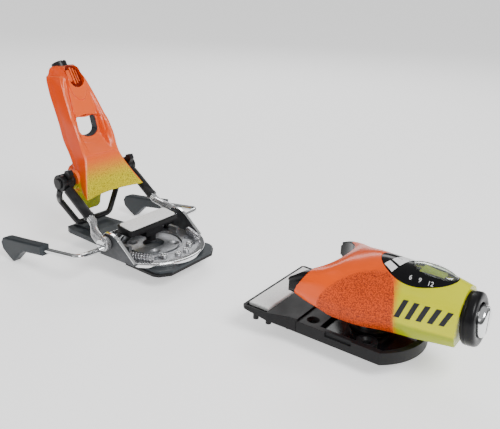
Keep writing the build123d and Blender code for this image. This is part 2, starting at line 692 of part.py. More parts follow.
def toe_deck():
    """Black scale panel that wraps over the head's top."""
    panel = ring_loft([toe_section(s) for s in TOE_SECTIONS[3:]]) & deck_field(0.15)
    panel -= deck_floor()
    return panel - block(TOE_X + 58, TOE_X + 84, -3.2, 3.2, 40, 70)


def toe_window():
    """Clear hump over the indicator."""
    centre = (TOE_X + 71.0, 0, 60.4)
    outer = Location(centre) * scale(Sphere(1), by=(15.5, 7.5, 3.6))
    inner = Location(centre) * scale(Sphere(1), by=(14.2, 6.2, 2.2))
    body = ring_loft([toe_section(s) for s in TOE_SECTIONS[3:]])
    return outer - inner - body - block(TOE_X + 50, TOE_X + 90, -10, 10, 50, 60.4)


def wing_cut(side):
    """Space at a wing's end for its black tip."""
    cut = block(TOE_X - 20, TOE_X - 8.5, 0, 60, 0, 80)
    return cut if side > 0 else left_of(cut)


def wing_tip():
    """Black wing tip that bears on the boot, on the right."""
    head = ring_loft([toe_section(s) for s in TOE_SECTIONS[:3]])
    tip = head & block(TOE_X - 20, TOE_X - 8.6, -60, 0, 0, 80)
    return tip - disc(TOE_X + SOCKET_X, 0, 0, 80, SOCKET_R)


def toe_cap():
    """Black end ring round the adjusting screw."""
    ring = rod((TOE_X + 96.1, 0, 35.3), (TOE_X + 104.5, 0, 36.4), CAP_R)
    ring = softened(ring, 2.2, lambda s: s.edges().group_by(Axis.X)[-1])
    ring -= rod((TOE_X + 90, 0, TOE_SPRING_Z), (TOE_X + 120, 0, TOE_SPRING_Z), 11.0)
    return ring & block(TOE_X + 96.05, TOE_X + 120, -30, 30, 0, 80)


def toe_adjust_screw():
    """Chromed adjusting screw with a slotted domed head."""
    screw = rod((TOE_X + 62, 0, TOE_SPRING_Z), (TOE_X + 98, 0, TOE_SPRING_Z), 4.0)
    head = rod((TOE_X + 97.5, 0, TOE_SPRING_Z), (TOE_X + 108.6, 0, TOE_SPRING_Z), 10.6)
    head = softened(head, 2.6, lambda s: s.edges().group_by(Axis.X)[-1])
    screw += head
    return screw - block(TOE_X + 106.4, TOE_X + 112, -1.1, 1.1, 20, 52)


def toe_follower():
    """Threaded follower that loads the spring, with a pointer under the window."""
    nut = rod((TOE_X + 76, 0, TOE_SPRING_Z), (TOE_X + 82, 0, TOE_SPRING_Z), TOE_BARREL_R - 0.3)
    nut += block(TOE_X + 64, TOE_X + 79, -2.8, 2.8, TOE_SPRING_Z + 11, 59.8)
    nut -= block(TOE_X + 60, TOE_X + 76, -5, 5, TOE_SPRING_Z - 14, 57)
    return nut - rod((TOE_X + 60, 0, TOE_SPRING_Z), (TOE_X + 100, 0, TOE_SPRING_Z), 4.0 + RUNNING)


def toe_spring():
    """Release spring of the toe."""
    return coil((TOE_X + 49.5, 0, TOE_SPRING_Z), (TOE_X + 75.8, 0, TOE_SPRING_Z), 9.4, 1.6, 5)


def toe_piston():
    """Piston between the pivot post and the spring."""
    return rod((TOE_X + 44.0, 0, TOE_SPRING_Z), (TOE_X + 49.3, 0, TOE_SPRING_Z), TOE_BARREL_R - 0.3)


def toe_swivel():
    """Bush that turns on the post and carries the lift pins."""
    bush = disc(TOE_PIVOT_X, 0, 10.8, 40, 10.0) - disc(TOE_PIVOT_X, 0, 0, 60, TOE_PIVOT_R + RUNNING)
    bush += disc(TOE_PIVOT_X, 0, 10.8, 13.4, 13.5) - disc(TOE_PIVOT_X, 0, 0, 60, 9)
    pins = pin(TOE_PIVOT_X, TOE_LIFT_Z, -19.5, 19.5, 3.0) - disc(TOE_PIVOT_X, 0, 0, 60, 9)
    return bush + pins


# ---------------------------------------------------------------- write every node
def heel_nodes():
    """Heel unit."""
    nodes = {
        "heel_base_plate": heel_base_plate(),
        "heel_under_plate": heel_under_plate(),
        "turntable_hub": turntable_hub(),
        "turntable_pan": turntable_pan(),
        "turntable_rim": turntable_rim(),
        "turntable_rear_cover": rear_cover(),
        "pan_bolts": pan_bolts(),
        "brake_pedal": brake_pedal(),
        "brake_pad": brake_pad(),
        "heel_axle": heel_axle(),
        "axle_caps": axle_caps(),
        "axle_spacers": axle_spacers(),
        "heel_cam": heel_cam(),
        "heel_housing": heel_housing(),
        "heel_treadle": heel_treadle(),
        "heel_window_insert": heel_window(),
        "heel_yoke": heel_yoke(),
        "heel_spring": heel_spring(),
        "heel_indicator": heel_indicator(),
        "heel_adjust_screw": heel_adjust_screw(),
        "release_bail": release_bail(),
        "bail_hubs": bail_hubs(),
    }
    pairs = {
        "turntable_cheek": turntable_cheek,
        "brake_block": brake_block,
        "brake_wire": brake_wire,
        "brake_tip": brake_tip,
        "arm_lug": arm_lug,
        "arm_rod": arm_rod,
        "arm_sleeve": arm_sleeve,
        "axle_boss": axle_boss,
    }
    for name, make in pairs.items():
        right = make()
        nodes["right_" + name] = right
        nodes["left_" + name] = left_of(right)
    groups = {
        "arm_pivot_bolts": arm_pivot_bolt,
        "centring_springs": centring_spring,
        "brake_springs": brake_spring,
        "pressure_springs": pressure_spring,
    }
    for name, make in groups.items():
        right = make()
        nodes[name] = Compound(children=[right, left_of(right)])
    return nodes


def toe_nodes():
    """Toe unit."""
    right_tip = wing_tip()
    return {
        "toe_base_plate": toe_base_plate(),
        "toe_floor_plate": toe_floor_plate(),
        "toe_pivot_post": toe_pivot_post(),
        "afd_carrier": afd_carrier(),
        "afd_pad": afd_pad(),
        "afd_springs": afd_springs(),
        "toe_housing": toe_housing(),
        "toe_deck": toe_deck(),
        "toe_window": toe_window(),
        "right_wing_tip": right_tip,
        "left_wing_tip": left_of(right_tip),
        "toe_cap": toe_cap(),
        "toe_adjust_screw": toe_adjust_screw(),
        "toe_follower": toe_follower(),
        "toe_spring": toe_spring(),
        "toe_piston": toe_piston(),
        "toe_swivel": toe_swivel(),
    }


def main():
    os.makedirs("parts", exist_ok=True)
    for name, shape in {**heel_nodes(), **toe_nodes()}.items():
        save(name, shape)


main()
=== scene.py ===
import json
import math

import bmesh
import bpy
import numpy as np
from mathutils import Matrix, Vector


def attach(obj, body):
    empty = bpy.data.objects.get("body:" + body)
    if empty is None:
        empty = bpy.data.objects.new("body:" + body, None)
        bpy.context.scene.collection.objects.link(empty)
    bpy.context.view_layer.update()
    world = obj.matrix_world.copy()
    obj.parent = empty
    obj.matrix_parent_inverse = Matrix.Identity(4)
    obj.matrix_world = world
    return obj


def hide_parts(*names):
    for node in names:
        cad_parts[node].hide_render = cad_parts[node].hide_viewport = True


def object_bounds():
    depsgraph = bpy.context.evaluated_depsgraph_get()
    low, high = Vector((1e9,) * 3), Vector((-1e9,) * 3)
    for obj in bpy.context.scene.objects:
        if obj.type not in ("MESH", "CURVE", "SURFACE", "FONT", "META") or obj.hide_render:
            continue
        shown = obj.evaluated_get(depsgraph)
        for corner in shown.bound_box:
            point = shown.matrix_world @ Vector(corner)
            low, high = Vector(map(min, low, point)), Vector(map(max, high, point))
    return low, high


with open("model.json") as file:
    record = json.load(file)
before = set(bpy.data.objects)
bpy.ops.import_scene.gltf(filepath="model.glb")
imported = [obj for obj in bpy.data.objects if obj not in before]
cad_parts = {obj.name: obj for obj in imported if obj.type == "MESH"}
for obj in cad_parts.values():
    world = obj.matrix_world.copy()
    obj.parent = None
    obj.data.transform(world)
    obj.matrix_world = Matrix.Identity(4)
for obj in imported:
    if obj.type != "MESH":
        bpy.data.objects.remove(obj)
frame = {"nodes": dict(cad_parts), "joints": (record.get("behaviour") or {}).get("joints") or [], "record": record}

CAD_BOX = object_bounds()
NODES = frame["nodes"]
MM = 0.001

# places read from the frame, in metres
TOE_PIVOT = next(Vector(j["pos_m"]) for j in frame["joints"] if j["name"] == "toe_turn")
TOE_X = TOE_PIVOT.x - 32 * MM
TOWER_LEAN = math.radians(30)


# ---------------------------------------------------------------- camera, light and floor
def add_camera():
    """Camera above the near side, ahead of the heel unit, rolled slightly."""
    data = bpy.data.cameras.new("camera")
    data.sensor_width = 36
    data.lens = 44.49
    data.clip_start = 0.01
    data.clip_end = 50
    camera = bpy.data.objects.new("camera", data)
    bpy.context.scene.collection.objects.link(camera)
    forward = Vector((-0.53937, 0.76074, -0.36104)).normalized()
    level_right = forward.cross(Vector((0, 0, 1))).normalized()
    level_up = level_right.cross(forward)
    roll = math.radians(1.99)
    right = math.cos(roll) * level_right + math.sin(roll) * level_up
    up = math.cos(roll) * level_up - math.sin(roll) * level_right
    turn = Matrix((right, up, -forward)).transposed().to_4x4()
    camera.matrix_world = Matrix.Translation((0.3607, -0.3616, 0.2332)) @ turn
    bpy.context.scene.camera = camera


def add_light(name, place, target, size, power):
    """Soft square area light that faces a target."""
    data = bpy.data.lights.new(name, "AREA")
    data.shape = "RECTANGLE"
    data.size = size[0]
    data.size_y = size[1]
    data.energy = power
    light = bpy.data.objects.new(name, data)
    bpy.context.scene.collection.objects.link(light)
    light.location = place
    light.rotation_mode = "QUATERNION"
    light.rotation_quaternion = (Vector(target) - Vector(place)).to_track_quat("-Z", "Y")


def add_studio():
    """Pale floor, white surroundings and soft lights."""
    low = CAD_BOX[0].z - 0.0004
    mesh = bpy.data.meshes.new("floor")
    reach = 60
    corners = [(-reach, -reach, low), (reach, -reach, low), (reach, reach, low), (-reach, reach, low)]
    mesh.from_pydata(corners, [], [(0, 1, 2, 3)])
    floor = bpy.data.objects.new("floor", mesh)
    bpy.context.scene.collection.objects.link(floor)
    shade = bpy.data.materials.new("floor")
    shade.use_nodes = True
    principled = shade.node_tree.nodes["Principled BSDF"]
    principled.inputs["Base Color"].default_value = (0.93, 0.93, 0.93, 1)
    principled.inputs["Roughness"].default_value = 0.9
    principled.inputs["Emission Color"].default_value = (1, 1, 1, 1)
    principled.inputs["Emission Strength"].default_value = 0.8
    mesh.materials.append(shade)

    world = bpy.data.worlds.new("studio")
    bpy.context.scene.world = world
    world.use_nodes = True
    background = world.node_tree.nodes["Background"]
    background.inputs["Strength"].default_value = 0.5
    # pale overhead and at the horizon with a darker band between, for bright metal to reflect
    direction = world.node_tree.nodes.new("ShaderNodeTexCoord")
    split = world.node_tree.nodes.new("ShaderNodeSeparateXYZ")
    ramp = world.node_tree.nodes.new("ShaderNodeValToRGB")
    world.node_tree.links.new(direction.outputs["Generated"], split.inputs["Vector"])
    world.node_tree.links.new(split.outputs["Z"], ramp.inputs["Fac"])
    world.node_tree.links.new(ramp.outputs["Color"], background.inputs["Color"])
    stops = ramp.color_ramp.elements
    stops[0].position = 0.03
    stops[0].color = (1, 1, 1, 1)
    stops[1].position = 0.75
    stops[1].color = (1, 1, 1, 1)
    for place, grey in ((0.14, 0.16), (0.34, 0.28)):
        band = stops.new(place)
        band.color = (grey, grey, grey, 1)

    middle = (0.05, 0, 0.04)
    add_light("key", (1.1, -0.25, 1.15), middle, (0.6, 0.6), 20)
    add_light("fill", (-0.3, -1.3, 0.8), middle, (0.9, 0.5), 1.5)
    add_light("rim", (-0.6, 1.1, 1.0), middle, (1.0, 0.4), 8)


# ---------------------------------------------------------------- material kit
class Shade:
    """A Principled material with short helpers for its nodes."""

    def __init__(self, name, colour, roughness, metallic=0.0):
        self.material = bpy.data.materials.new(name)
        self.material.use_nodes = True
        self.tree = self.material.node_tree
        self.bsdf = self.tree.nodes["Principled BSDF"]
        self.bsdf.inputs["Base Color"].default_value = (*colour, 1)
        self.bsdf.inputs["Roughness"].default_value = roughness
        self.bsdf.inputs["Metallic"].default_value = metallic
        self.place = self.tree.nodes.new("ShaderNodeTexCoord").outputs["Object"]
        self.height = None

    def set(self, name, value):
        """Sets a socket of the shader."""
        self.bsdf.inputs[name].default_value = value
        return self

    def node(self, kind, **values):
        """A new node with its named inputs and properties set."""
        made = self.tree.nodes.new(kind)
        for key, value in values.items():
            if key in made.inputs:
                made.inputs[key].default_value = value
            else:
                setattr(made, key, value)
        return made

    def link(self, out, socket):
        """Joins two sockets."""
        self.tree.links.new(out, socket)

    def noise(self, scale, detail=3.0, rough=0.55, stretch=(1, 1, 1)):
        """Noise over the object's own metres."""
        mapping = self.node("ShaderNodeMapping")
        mapping.inputs["Scale"].default_value = stretch
        self.link(self.place, mapping.inputs["Vector"])
        made = self.node("ShaderNodeTexNoise")
        made.inputs["Scale"].default_value = scale
        made.inputs["Detail"].default_value = detail
        made.inputs["Roughness"].default_value = rough
        self.link(mapping.outputs["Vector"], made.inputs["Vector"])
        return made.outputs["Fac"]

    def cells(self, scale):
        """Cell distances over the object's own metres."""
        made = self.node("ShaderNodeTexVoronoi")
        made.inputs["Scale"].default_value = scale
        self.link(self.place, made.inputs["Vector"])
        return made.outputs["Distance"]

    def span(self, value, low, high, to_low=0.0, to_high=1.0, smooth=False):
        """Maps a value from one range to another, clamped."""
        made = self.node("ShaderNodeMapRange")
        made.interpolation_type = "SMOOTHSTEP" if smooth else "LINEAR"
        made.inputs["From Min"].default_value = low
        made.inputs["From Max"].default_value = high
        made.inputs["To Min"].default_value = to_low
        made.inputs["To Max"].default_value = to_high
        self.link(value, made.inputs["Value"])
        return made.outputs["Result"]

    def maths(self, kind, a, b=None, c=None):
        """A maths node on sockets or numbers."""
        made = self.node("ShaderNodeMath")
        made.operation = kind
        for index, value in enumerate((a, b, c)):
            if value is None:
                continue
            if isinstance(value, (int, float)):
                made.inputs[index].default_value = value
            else:
                self.link(value, made.inputs[index])
        return made.outputs["Value"]

    def along(self, direction, origin=(0, 0, 0)):
        """Distance along a direction in the object's own metres."""
        shift = self.node("ShaderNodeVectorMath")
        shift.operation = "SUBTRACT"
        self.link(self.place, shift.inputs[0])
        shift.inputs[1].default_value = origin
        dot = self.node("ShaderNodeVectorMath")
        dot.operation = "DOT_PRODUCT"
        self.link(shift.outputs["Vector"], dot.inputs[0])
        dot.inputs[1].default_value = Vector(direction).normalized()
        return dot.outputs["Value"]

    def facing(self, direction):
        """How far the surface faces a direction of the object's own axes, -1 to 1."""
        coords = self.node("ShaderNodeTexCoord")
        dot = self.node("ShaderNodeVectorMath")
        dot.operation = "DOT_PRODUCT"
        self.link(coords.outputs["Normal"], dot.inputs[0])
        dot.inputs[1].default_value = Vector(direction).normalized()
        return dot.outputs["Value"]

    def mix(self, factor, low, high):
        """Colour between two colours or sockets."""
        made = self.node("ShaderNodeMix")
        made.data_type = "RGBA"
        self.link(factor, made.inputs["Factor"])
        for name, value in (("A", low), ("B", high)):
            socket = next(s for s in made.inputs if s.name == name and s.type == "RGBA")
            if isinstance(value, tuple):
                socket.default_value = (*value, 1)
            else:
                self.link(value, socket)
        return next(s for s in made.outputs if s.type == "RGBA")

    def colour(self, out):
        """Links the base colour."""
        self.link(out, self.bsdf.inputs["Base Color"])
        return self

    def roughness(self, out):
        """Links the roughness."""
        self.link(out, self.bsdf.inputs["Roughness"])
        return self

    def bump(self, height, distance, strength=1.0):
        """Adds a bump of a real height in metres, over any bump already there."""
        made = self.node("ShaderNodeBump")
        made.inputs["Strength"].default_value = strength
        made.inputs["Distance"].default_value = distance
        self.link(height, made.inputs["Height"])
        if self.height is not None:
            self.link(self.height, made.inputs["Normal"])
        self.height = made.outputs["Normal"]
        self.link(self.height, self.bsdf.inputs["Normal"])
        return self

    def soft_edges(self, radius):
        """Rounds sharp edges in the shading."""
        made = self.node("ShaderNodeBevel")
        made.samples = 4
        made.inputs["Radius"].default_value = radius
        if self.height is not None:
            self.link(self.height, made.inputs["Normal"])
        self.height = made.outputs["Normal"]
        self.link(self.height, self.bsdf.inputs["Normal"])
        return self


def moulded(name, colour, roughness, grain=900, depth=0.00004, speck=0.25, edge=0.0004):
    """Moulded plastic with a fine grain and faint colour variation."""
    s = Shade(name, colour, roughness)
    s.set("Specular IOR Level", 0.2)
    fine = s.noise(grain, 4.0, 0.6)
    broad = s.noise(45, 3.0)
    darker = tuple(c * (1 - speck) for c in colour)
    lighter = tuple(min(1, c * (1 + speck)) for c in colour)
    mottled = s.maths("ADD", s.maths("MULTIPLY", fine, 0.6), s.maths("MULTIPLY", broad, 0.4))
    s.colour(s.mix(s.span(mottled, 0.38, 0.62), darker, lighter))
    s.roughness(s.span(broad, 0.3, 0.7, roughness - 0.07, roughness + 0.08))
    s.soft_edges(edge)
    s.bump(fine, depth)
    return s.material


def plated(name, colour, roughness, wear=0.06, edge=0.0004):
    """Bright plated metal with faint handling marks."""
    s = Shade(name, colour, roughness, 1.0)
    broad = s.noise(60, 4.0)
    scratch = s.noise(220, 3.0, 0.7, (1, 9, 9))
    s.roughness(s.span(s.maths("MULTIPLY", broad, scratch), 0.1, 0.45, roughness, roughness + wear))
    s.colour(s.mix(s.span(broad, 0.35, 0.7), tuple(c * 0.86 for c in colour), colour))
    s.soft_edges(edge)
    s.bump(scratch, 0.000012)
    return s.material


def cast(name, colour, roughness, grain=700, depth=0.00012):
    """Sand-textured cast metal with darker pits."""
    s = Shade(name, colour, roughness, 0.85)
    pits = s.cells(grain)
    fine = s.noise(grain * 1.6, 5.0, 0.7)
    broad = s.noise(70, 3.0)
    dark = tuple(c * 0.42 for c in colour)
    speckle = s.maths("ADD", s.maths("MULTIPLY", fine, 0.7), s.maths("MULTIPLY", broad, 0.3))
    s.colour(s.mix(s.span(speckle, 0.38, 0.6), dark, colour))
    s.roughness(s.span(fine, 0.3, 0.7, roughness - 0.1, roughness + 0.15))
    s.soft_edges(0.0004)
    s.bump(s.maths("ADD", pits, fine), depth)
    return s.material


def coated(name, colour, roughness):
    """Satin black coat on metal, worn a little brighter in streaks."""
    s = Shade(name, colour, roughness)
    s.set("Specular IOR Level", 0.25).set("Coat Weight", 0.1).set("Coat Roughness", 0.15)
    broad = s.noise(90, 4.0)
    fine = s.noise(1300, 3.0, 0.6)
    s.colour(s.mix(s.span(broad, 0.45, 0.75), colour, tuple(c * 2.2 + 0.01 for c in colour)))
    s.roughness(s.span(broad, 0.3, 0.7, roughness - 0.06, roughness + 0.1))
    s.soft_edges(0.0005)
    s.bump(fine, 0.00002)
    return s.material


def clear_plastic():
    """Clear smoked scale window."""
    s = Shade("clear_window", (0.85, 0.9, 0.82), 0.04)
    s.set("Transmission Weight", 0.95).set("IOR", 1.45).set("Coat Weight", 0.5)
    s.roughness(s.span(s.noise(300, 2.0), 0.3, 0.7, 0.02, 0.07))
    return s.material


def pad_white():
    """Low-friction pad, very lightly scuffed."""
    s = Shade("pad_white", (0.86, 0.86, 0.85), 0.5)
    flecks = s.noise(900, 2.0, 0.8)
    scuff = s.noise(160, 4.0, 0.7, (1, 4, 1))
    s.colour(s.mix(s.span(flecks, 0.35, 0.5), (0.7, 0.7, 0.7), (0.88, 0.88, 0.87)))
    s.roughness(s.span(scuff, 0.3, 0.7, 0.38, 0.6))
    s.soft_edges(0.0004)
    s.bump(s.maths("ADD", flecks, scuff), 0.00003)
    return s.material


ORANGE = (0.90, 0.092, 0.0)
YELLOW = (0.66, 0.67, 0.0)


# where the tower narrows to its waist above the skirt: height and half width, in metres
SKIRT_TOP = 0.0787
WAIST_HALF = 0.0202


def tower_paint():
    """Glossy orange that fades downwards to a textured yellow skirt, with painted shade on faces turned sideways
    and on faces turned downwards.
    """
    s = Shade("tower_paint", ORANGE, 0.28)
    s.set("Specular IOR Level", 0.3).set("Coat Weight", 0.06).set("Coat Roughness", 0.1)
    down = s.along((0.30, 0, -0.95), (-0.061, 0, SKIRT_TOP))
    speck = s.noise(1500, 2.0, 0.9)
    ragged = s.maths("ADD", down, s.maths("MULTIPLY", s.maths("SUBTRACT", speck, 0.5), 0.012))
    below = s.maths("SUBTRACT", SKIRT_TOP, s.along((0, 0, 1)))
    # the sides stay orange: they lie outside the front's half width, which grows downwards
    curve = s.maths("MULTIPLY_ADD", s.maths("MULTIPLY", below, below), 5.6, WAIST_HALF)
    half = s.maths("ADD", s.maths("MULTIPLY", below, 0.25), curve)
    beside = s.maths("SUBTRACT", s.maths("ABSOLUTE", s.along((0, 1, 0))), half)
    fade = s.span(ragged, 0.001, 0.025, smooth=True)
    fade = s.maths("MULTIPLY", fade, s.span(beside, -0.0013, -0.0005, 1.0, 0.12))
    cells = s.noise(1100, 2.0, 0.8)
    yellow = s.mix(s.span(cells, 0.36, 0.54), (0.26, 0.18, 0.0), (0.76, 0.64, 0.0))
    broad = s.noise(40, 2.0)
    # painted shade: faces turned sideways and faces turned downwards get a darker orange, the rest a paler orange
    # as if lit from the front
    sides = s.span(s.maths("ABSOLUTE", s.facing((0, 1, 0))), 0.5, 0.72, smooth=True)
    underside_shade = s.span(s.facing((0, 0, 1)), -0.1, 0.16, 1.0, 0.0)
    painted_shade = s.maths("MAXIMUM", sides, underside_shade)
    orange = s.mix(painted_shade, (0.90, 0.135, 0.03), (0.78, 0.06, 0.0))
    orange = s.mix(s.span(broad, 0.35, 0.65, 0.0, 0.25), orange, ORANGE)
    s.colour(s.mix(fade, orange, yellow))
    s.roughness(s.span(fade, 0, 1, 0.27, 0.55))
    s.soft_edges(0.0006)
    s.bump(s.maths("MULTIPLY", s.noise(1700, 3.0, 0.7), fade), 0.00022)
    s.bump(s.noise(500, 2.0), 0.00001)
    return s.material


def treadle_paint():
    """Rough yellow-green lobe, orange at its top."""
    s = Shade("treadle_paint", YELLOW, 0.55)
    speck = s.noise(1500, 3.0, 0.8)
    up = s.along((0, 0, 1))
    ragged = s.maths("ADD", up, s.maths("MULTIPLY", s.maths("SUBTRACT", speck, 0.5), 0.012))
    fade = s.span(ragged, 0.036, 0.048, smooth=True)
    green = s.mix(s.span(speck, 0.38, 0.56), (0.22, 0.25, 0.0), (0.62, 0.70, 0.0))
    s.colour(s.mix(fade, green, ORANGE))
    s.soft_edges(0.0008)
    s.bump(s.noise(1300, 3.0, 0.7), 0.0003)
    return s.material


def toe_paint():
    """Orange wings that fade to a yellow body, with a rough darker patch on each side."""
    s = Shade("toe_paint", ORANGE, 0.28)
    s.set("Specular IOR Level", 0.3).set("Coat Weight", 0.06).set("Coat Roughness", 0.1)
    x = s.along((1, 0, 0), (TOE_X, 0, 0))
    z = s.along((0, 0, 1))
    y = s.maths("ABSOLUTE", s.along((0, 1, 0)))
    speck = s.noise(1500, 2.0, 0.9)
    jitter = s.maths("MULTIPLY", s.maths("SUBTRACT", speck, 0.5), 0.006)
    lean = s.maths("ADD", x, s.maths("MULTIPLY", z, 0.10))
    fade = s.span(s.maths("ADD", lean, jitter), 0.0555, 0.0635, smooth=True)
    # the patch is an oval on the side, long to the rear and short to the front, clear of the top
    past = s.maths("SUBTRACT", x, 0.046)
    px = s.maths("MAXIMUM", s.maths("DIVIDE", past, 0.0115), s.maths("DIVIDE", past, -0.042))
    pz = s.maths("DIVIDE", s.maths("SUBTRACT", z, 0.022), 0.0355)
    radius = s.maths("SQRT", s.maths("ADD", s.maths("MULTIPLY", px, px), s.maths("MULTIPLY", pz, pz)))
    patch = s.maths("MULTIPLY", s.span(radius, 0.94, 1.0, 1.0, 0.0, True), s.span(y, 0.008, 0.010))
    patch = s.maths("MULTIPLY", patch, s.span(fade, 0.2, 0.8, 1.0, 0.0))
    rough_orange = s.mix(s.span(s.noise(1100, 2.0, 0.9), 0.38, 0.56), (0.20, 0.018, 0.0), (0.76, 0.075, 0.0))
    broad = s.noise(40, 2.0)
    orange = s.mix(s.span(broad, 0.35, 0.65), tuple(c * 0.9 for c in ORANGE), ORANGE)
    facet = s.span(z, 0.0275, 0.0295, 1.0, 0.0)
    base = s.mix(fade, orange, s.mix(facet, YELLOW, (0.36, 0.42, 0.0)))
    s.colour(s.mix(patch, base, rough_orange))
    s.roughness(s.span(patch, 0, 1, 0.27, 0.6))
    s.soft_edges(0.0006)
    s.bump(s.maths("MULTIPLY", s.noise(1500, 3.0, 0.7), patch), 0.0003)
    s.bump(s.noise(500, 2.0), 0.00001)
    return s.material


def build_materials():
    """Every material by the name used below."""
    return {
        "black_plastic": moulded("black_plastic", (0.009, 0.009, 0.010), 0.46, 1100, 0.00006, 0.35),
        "black_gloss": moulded("black_gloss", (0.004, 0.004, 0.005), 0.16, 400, 0.000008, 0.2),
        "grey_plastic": moulded("grey_plastic", (0.036, 0.042, 0.047), 0.42, 1200, 0.00004, 0.15),
        "pad_white": pad_white(),
        "cast_metal": cast("cast_metal", (0.66, 0.66, 0.67), 0.27, 900, 0.00006),
        "pan_cast": cast("pan_cast", (0.48, 0.49, 0.51), 0.36, 650, 0.0002),
        "cheek_steel": coated("cheek_steel", (0.04, 0.042, 0.046), 0.36),
        "chromed": plated("chromed", (0.86, 0.87, 0.88), 0.07),
        "steel": plated("steel", (0.42, 0.42, 0.43), 0.3, 0.15),
        "spring_steel": plated("spring_steel", (0.5, 0.5, 0.52), 0.22, 0.12, 0.0001),
        "black_metal": coated("black_metal", (0.008, 0.008, 0.009), 0.34),
        "window_red": moulded("window_red", (0.20, 0.014, 0.004), 0.3, 700, 0.00004, 0.4),
        "indicator": moulded("indicator", (0.5, 0.6, 0.02), 0.4, 800, 0.00003, 0.2),
        "clear": clear_plastic(),
        "print_white": moulded("print_white", (0.85, 0.85, 0.85), 0.4, 900, 0.00001, 0.05),
        "print_dark": moulded("print_dark", (0.02, 0.022, 0.026), 0.45, 900, 0.00001, 0.1),
        "tip_black": moulded("tip_black", (0.006, 0.006, 0.007), 0.18, 700, 0.00002, 0.3),
        "cap_black": moulded("cap_black", (0.006, 0.006, 0.007), 0.3, 900, 0.00003, 0.3),
        "tower_plastic": tower_paint(),
        "treadle_plastic": treadle_paint(),
        "toe_plastic": toe_paint(),
    }


def dress_nodes(shades):
    """Gives every CAD node the material of its slot, with a few finer choices."""
    finer = {"turntable_pan": "pan_cast", "turntable_hub": "pan_cast"}
    finer.update({"right_turntable_cheek": "cheek_steel", "left_turntable_cheek": "cheek_steel"})
    slots = {p["node"]: p["material_slot"] for p in frame["record"]["subparts"]}
    for name, node in NODES.items():
        shade = shades[finer.get(name, slots[name])]
        node.data.materials.clear()
        node.data.materials.append(shade)
        for polygon in node.data.polygons:
            polygon.material_index = 0


# ---------------------------------------------------------------- mesh kit, in millimetres
def spline_table(rows):
    """A smooth, never overshooting function of the first column, from rows of numbers."""
    keys = np.array([r[0] for r in rows], float)
    order = np.argsort(keys)
    keys = keys[order]
    values = np.array([r[1:] for r in rows], float)[order]
    steps = np.diff(keys)[:, None]
    secants = np.diff(values, axis=0) / steps
    slopes = np.zeros_like(values)
    slopes[0] = secants[0]
    slopes[-1] = secants[-1]
    a, b = secants[:-1], secants[1:]
    same = a * b > 0
    slopes[1:-1] = np.where(same, 2 * a * b / np.where(same, a + b, 1), 0)

    def at(key):
        key = min(max(key, keys[0]), keys[-1])
        i = min(int(np.searchsorted(keys, key, side="right")) - 1, len(keys) - 2)
        h = keys[i + 1] - keys[i]
        t = (key - keys[i]) / h
        return (
            values[i] * (2 * t**3 - 3 * t**2 + 1)
            + slopes[i] * h * (t**3 - 2 * t**2 + t)
            + values[i + 1] * (3 * t**2 - 2 * t**3)
            + slopes[i + 1] * h * (t**3 - t**2)
        )

    return at


def smooth_step(value, low, high):
    """0 below low, 1 above high, smooth between."""
    t = min(max((value - low) / (high - low), 0.0), 1.0)
    return t * t * (3 - 2 * t)


def new_object(name, mesh):
    """An object in the row frame for a mesh."""
    made = bpy.data.objects.new(name, mesh)
    bpy.context.scene.collection.objects.link(made)
    return made


def skin(name, rings, closed_ends=True):
    """A closed skin through rings that all have the same number of points."""
    count = len(rings[0])
    points = [tuple(c * MM for c in p) for ring in rings for p in ring]
    faces = []
    for r in range(len(rings) - 1):
        for k in range(count):
            n = (k + 1) % count
            faces.append((r * count + k, r * count + n, (r + 1) * count + n, (r + 1) * count + k))
    if closed_ends:
        faces.append(tuple(range(count)))
        faces.append(tuple(range((len(rings) - 1) * count, len(rings) * count)))
    mesh = bpy.data.meshes.new(name)
    mesh.from_pydata(points, [], faces)
    shape = bmesh.new()
    shape.from_mesh(mesh)
    bmesh.ops.recalc_face_normals(shape, faces=shape.faces)
    shape.to_mesh(mesh)
    shape.free()
    return new_object(name, mesh)


def bar(name, start, end, radius, sides=48):
    """A round bar between two points."""
    a, b = Vector(start), Vector(end)
    axis = (b - a).normalized()
    u = axis.orthogonal().normalized()
    v = axis.cross(u)
    rings = []
    for centre in (a, b):
        turn = [2 * math.pi * k / sides for k in range(sides)]
        rings.append([tuple(centre + radius * (math.cos(t) * u + math.sin(t) * v)) for t in turn])
    return skin(name, rings)


def lathe(name, start, direction, profile, sides=64):
    """A turned shape: profile is (distance along, radius)."""
    axis = Vector(direction).normalized()
    u = axis.orthogonal().normalized()
    v = axis.cross(u)
    rings = []
    for along, radius in profile:
        centre = Vector(start) + axis * along
        turn = [2 * math.pi * k / sides for k in range(sides)]
        rings.append([tuple(centre + radius * (math.cos(t) * u + math.sin(t) * v)) for t in turn])
    return skin(name, rings)


def slab(name, low, high):
    """A block between two corners."""
    (x0, y0, z0), (x1, y1, z1) = low, high
    rings = [[(x0, y0, z), (x1, y0, z), (x1, y1, z), (x0, y1, z)] for z in (z0, z1)]
    return skin(name, rings)


def prism_y(name, outline, y0, y1):
    """An outline in X and Z, drawn along Y."""
    return skin(name, [[(x, y, z) for x, z in outline] for y in (y0, y1)])


def carve(target, cutter):
    """Cuts one closed mesh with another, and removes the cutter."""
    modifier = target.modifiers.new("carve", "BOOLEAN")
    modifier.object = cutter
    modifier.operation = "DIFFERENCE"
    modifier.solver = "EXACT"
    graph = bpy.context.evaluated_depsgraph_get()
    mesh = bpy.data.meshes.new_from_object(target.evaluated_get(graph))
    target.modifiers.clear()
    target.data = mesh
    bpy.data.objects.remove(cutter)


def merge(name, pieces):
    """Joins several meshes into one object."""
    shape = bmesh.new()
    for piece in pieces:
        shape.from_mesh(piece.data)
    mesh = bpy.data.meshes.new(name)
    shape.to_mesh(mesh)
    shape.free()
    for piece in pieces:
        bpy.data.objects.remove(piece)
    return new_object(name, mesh)


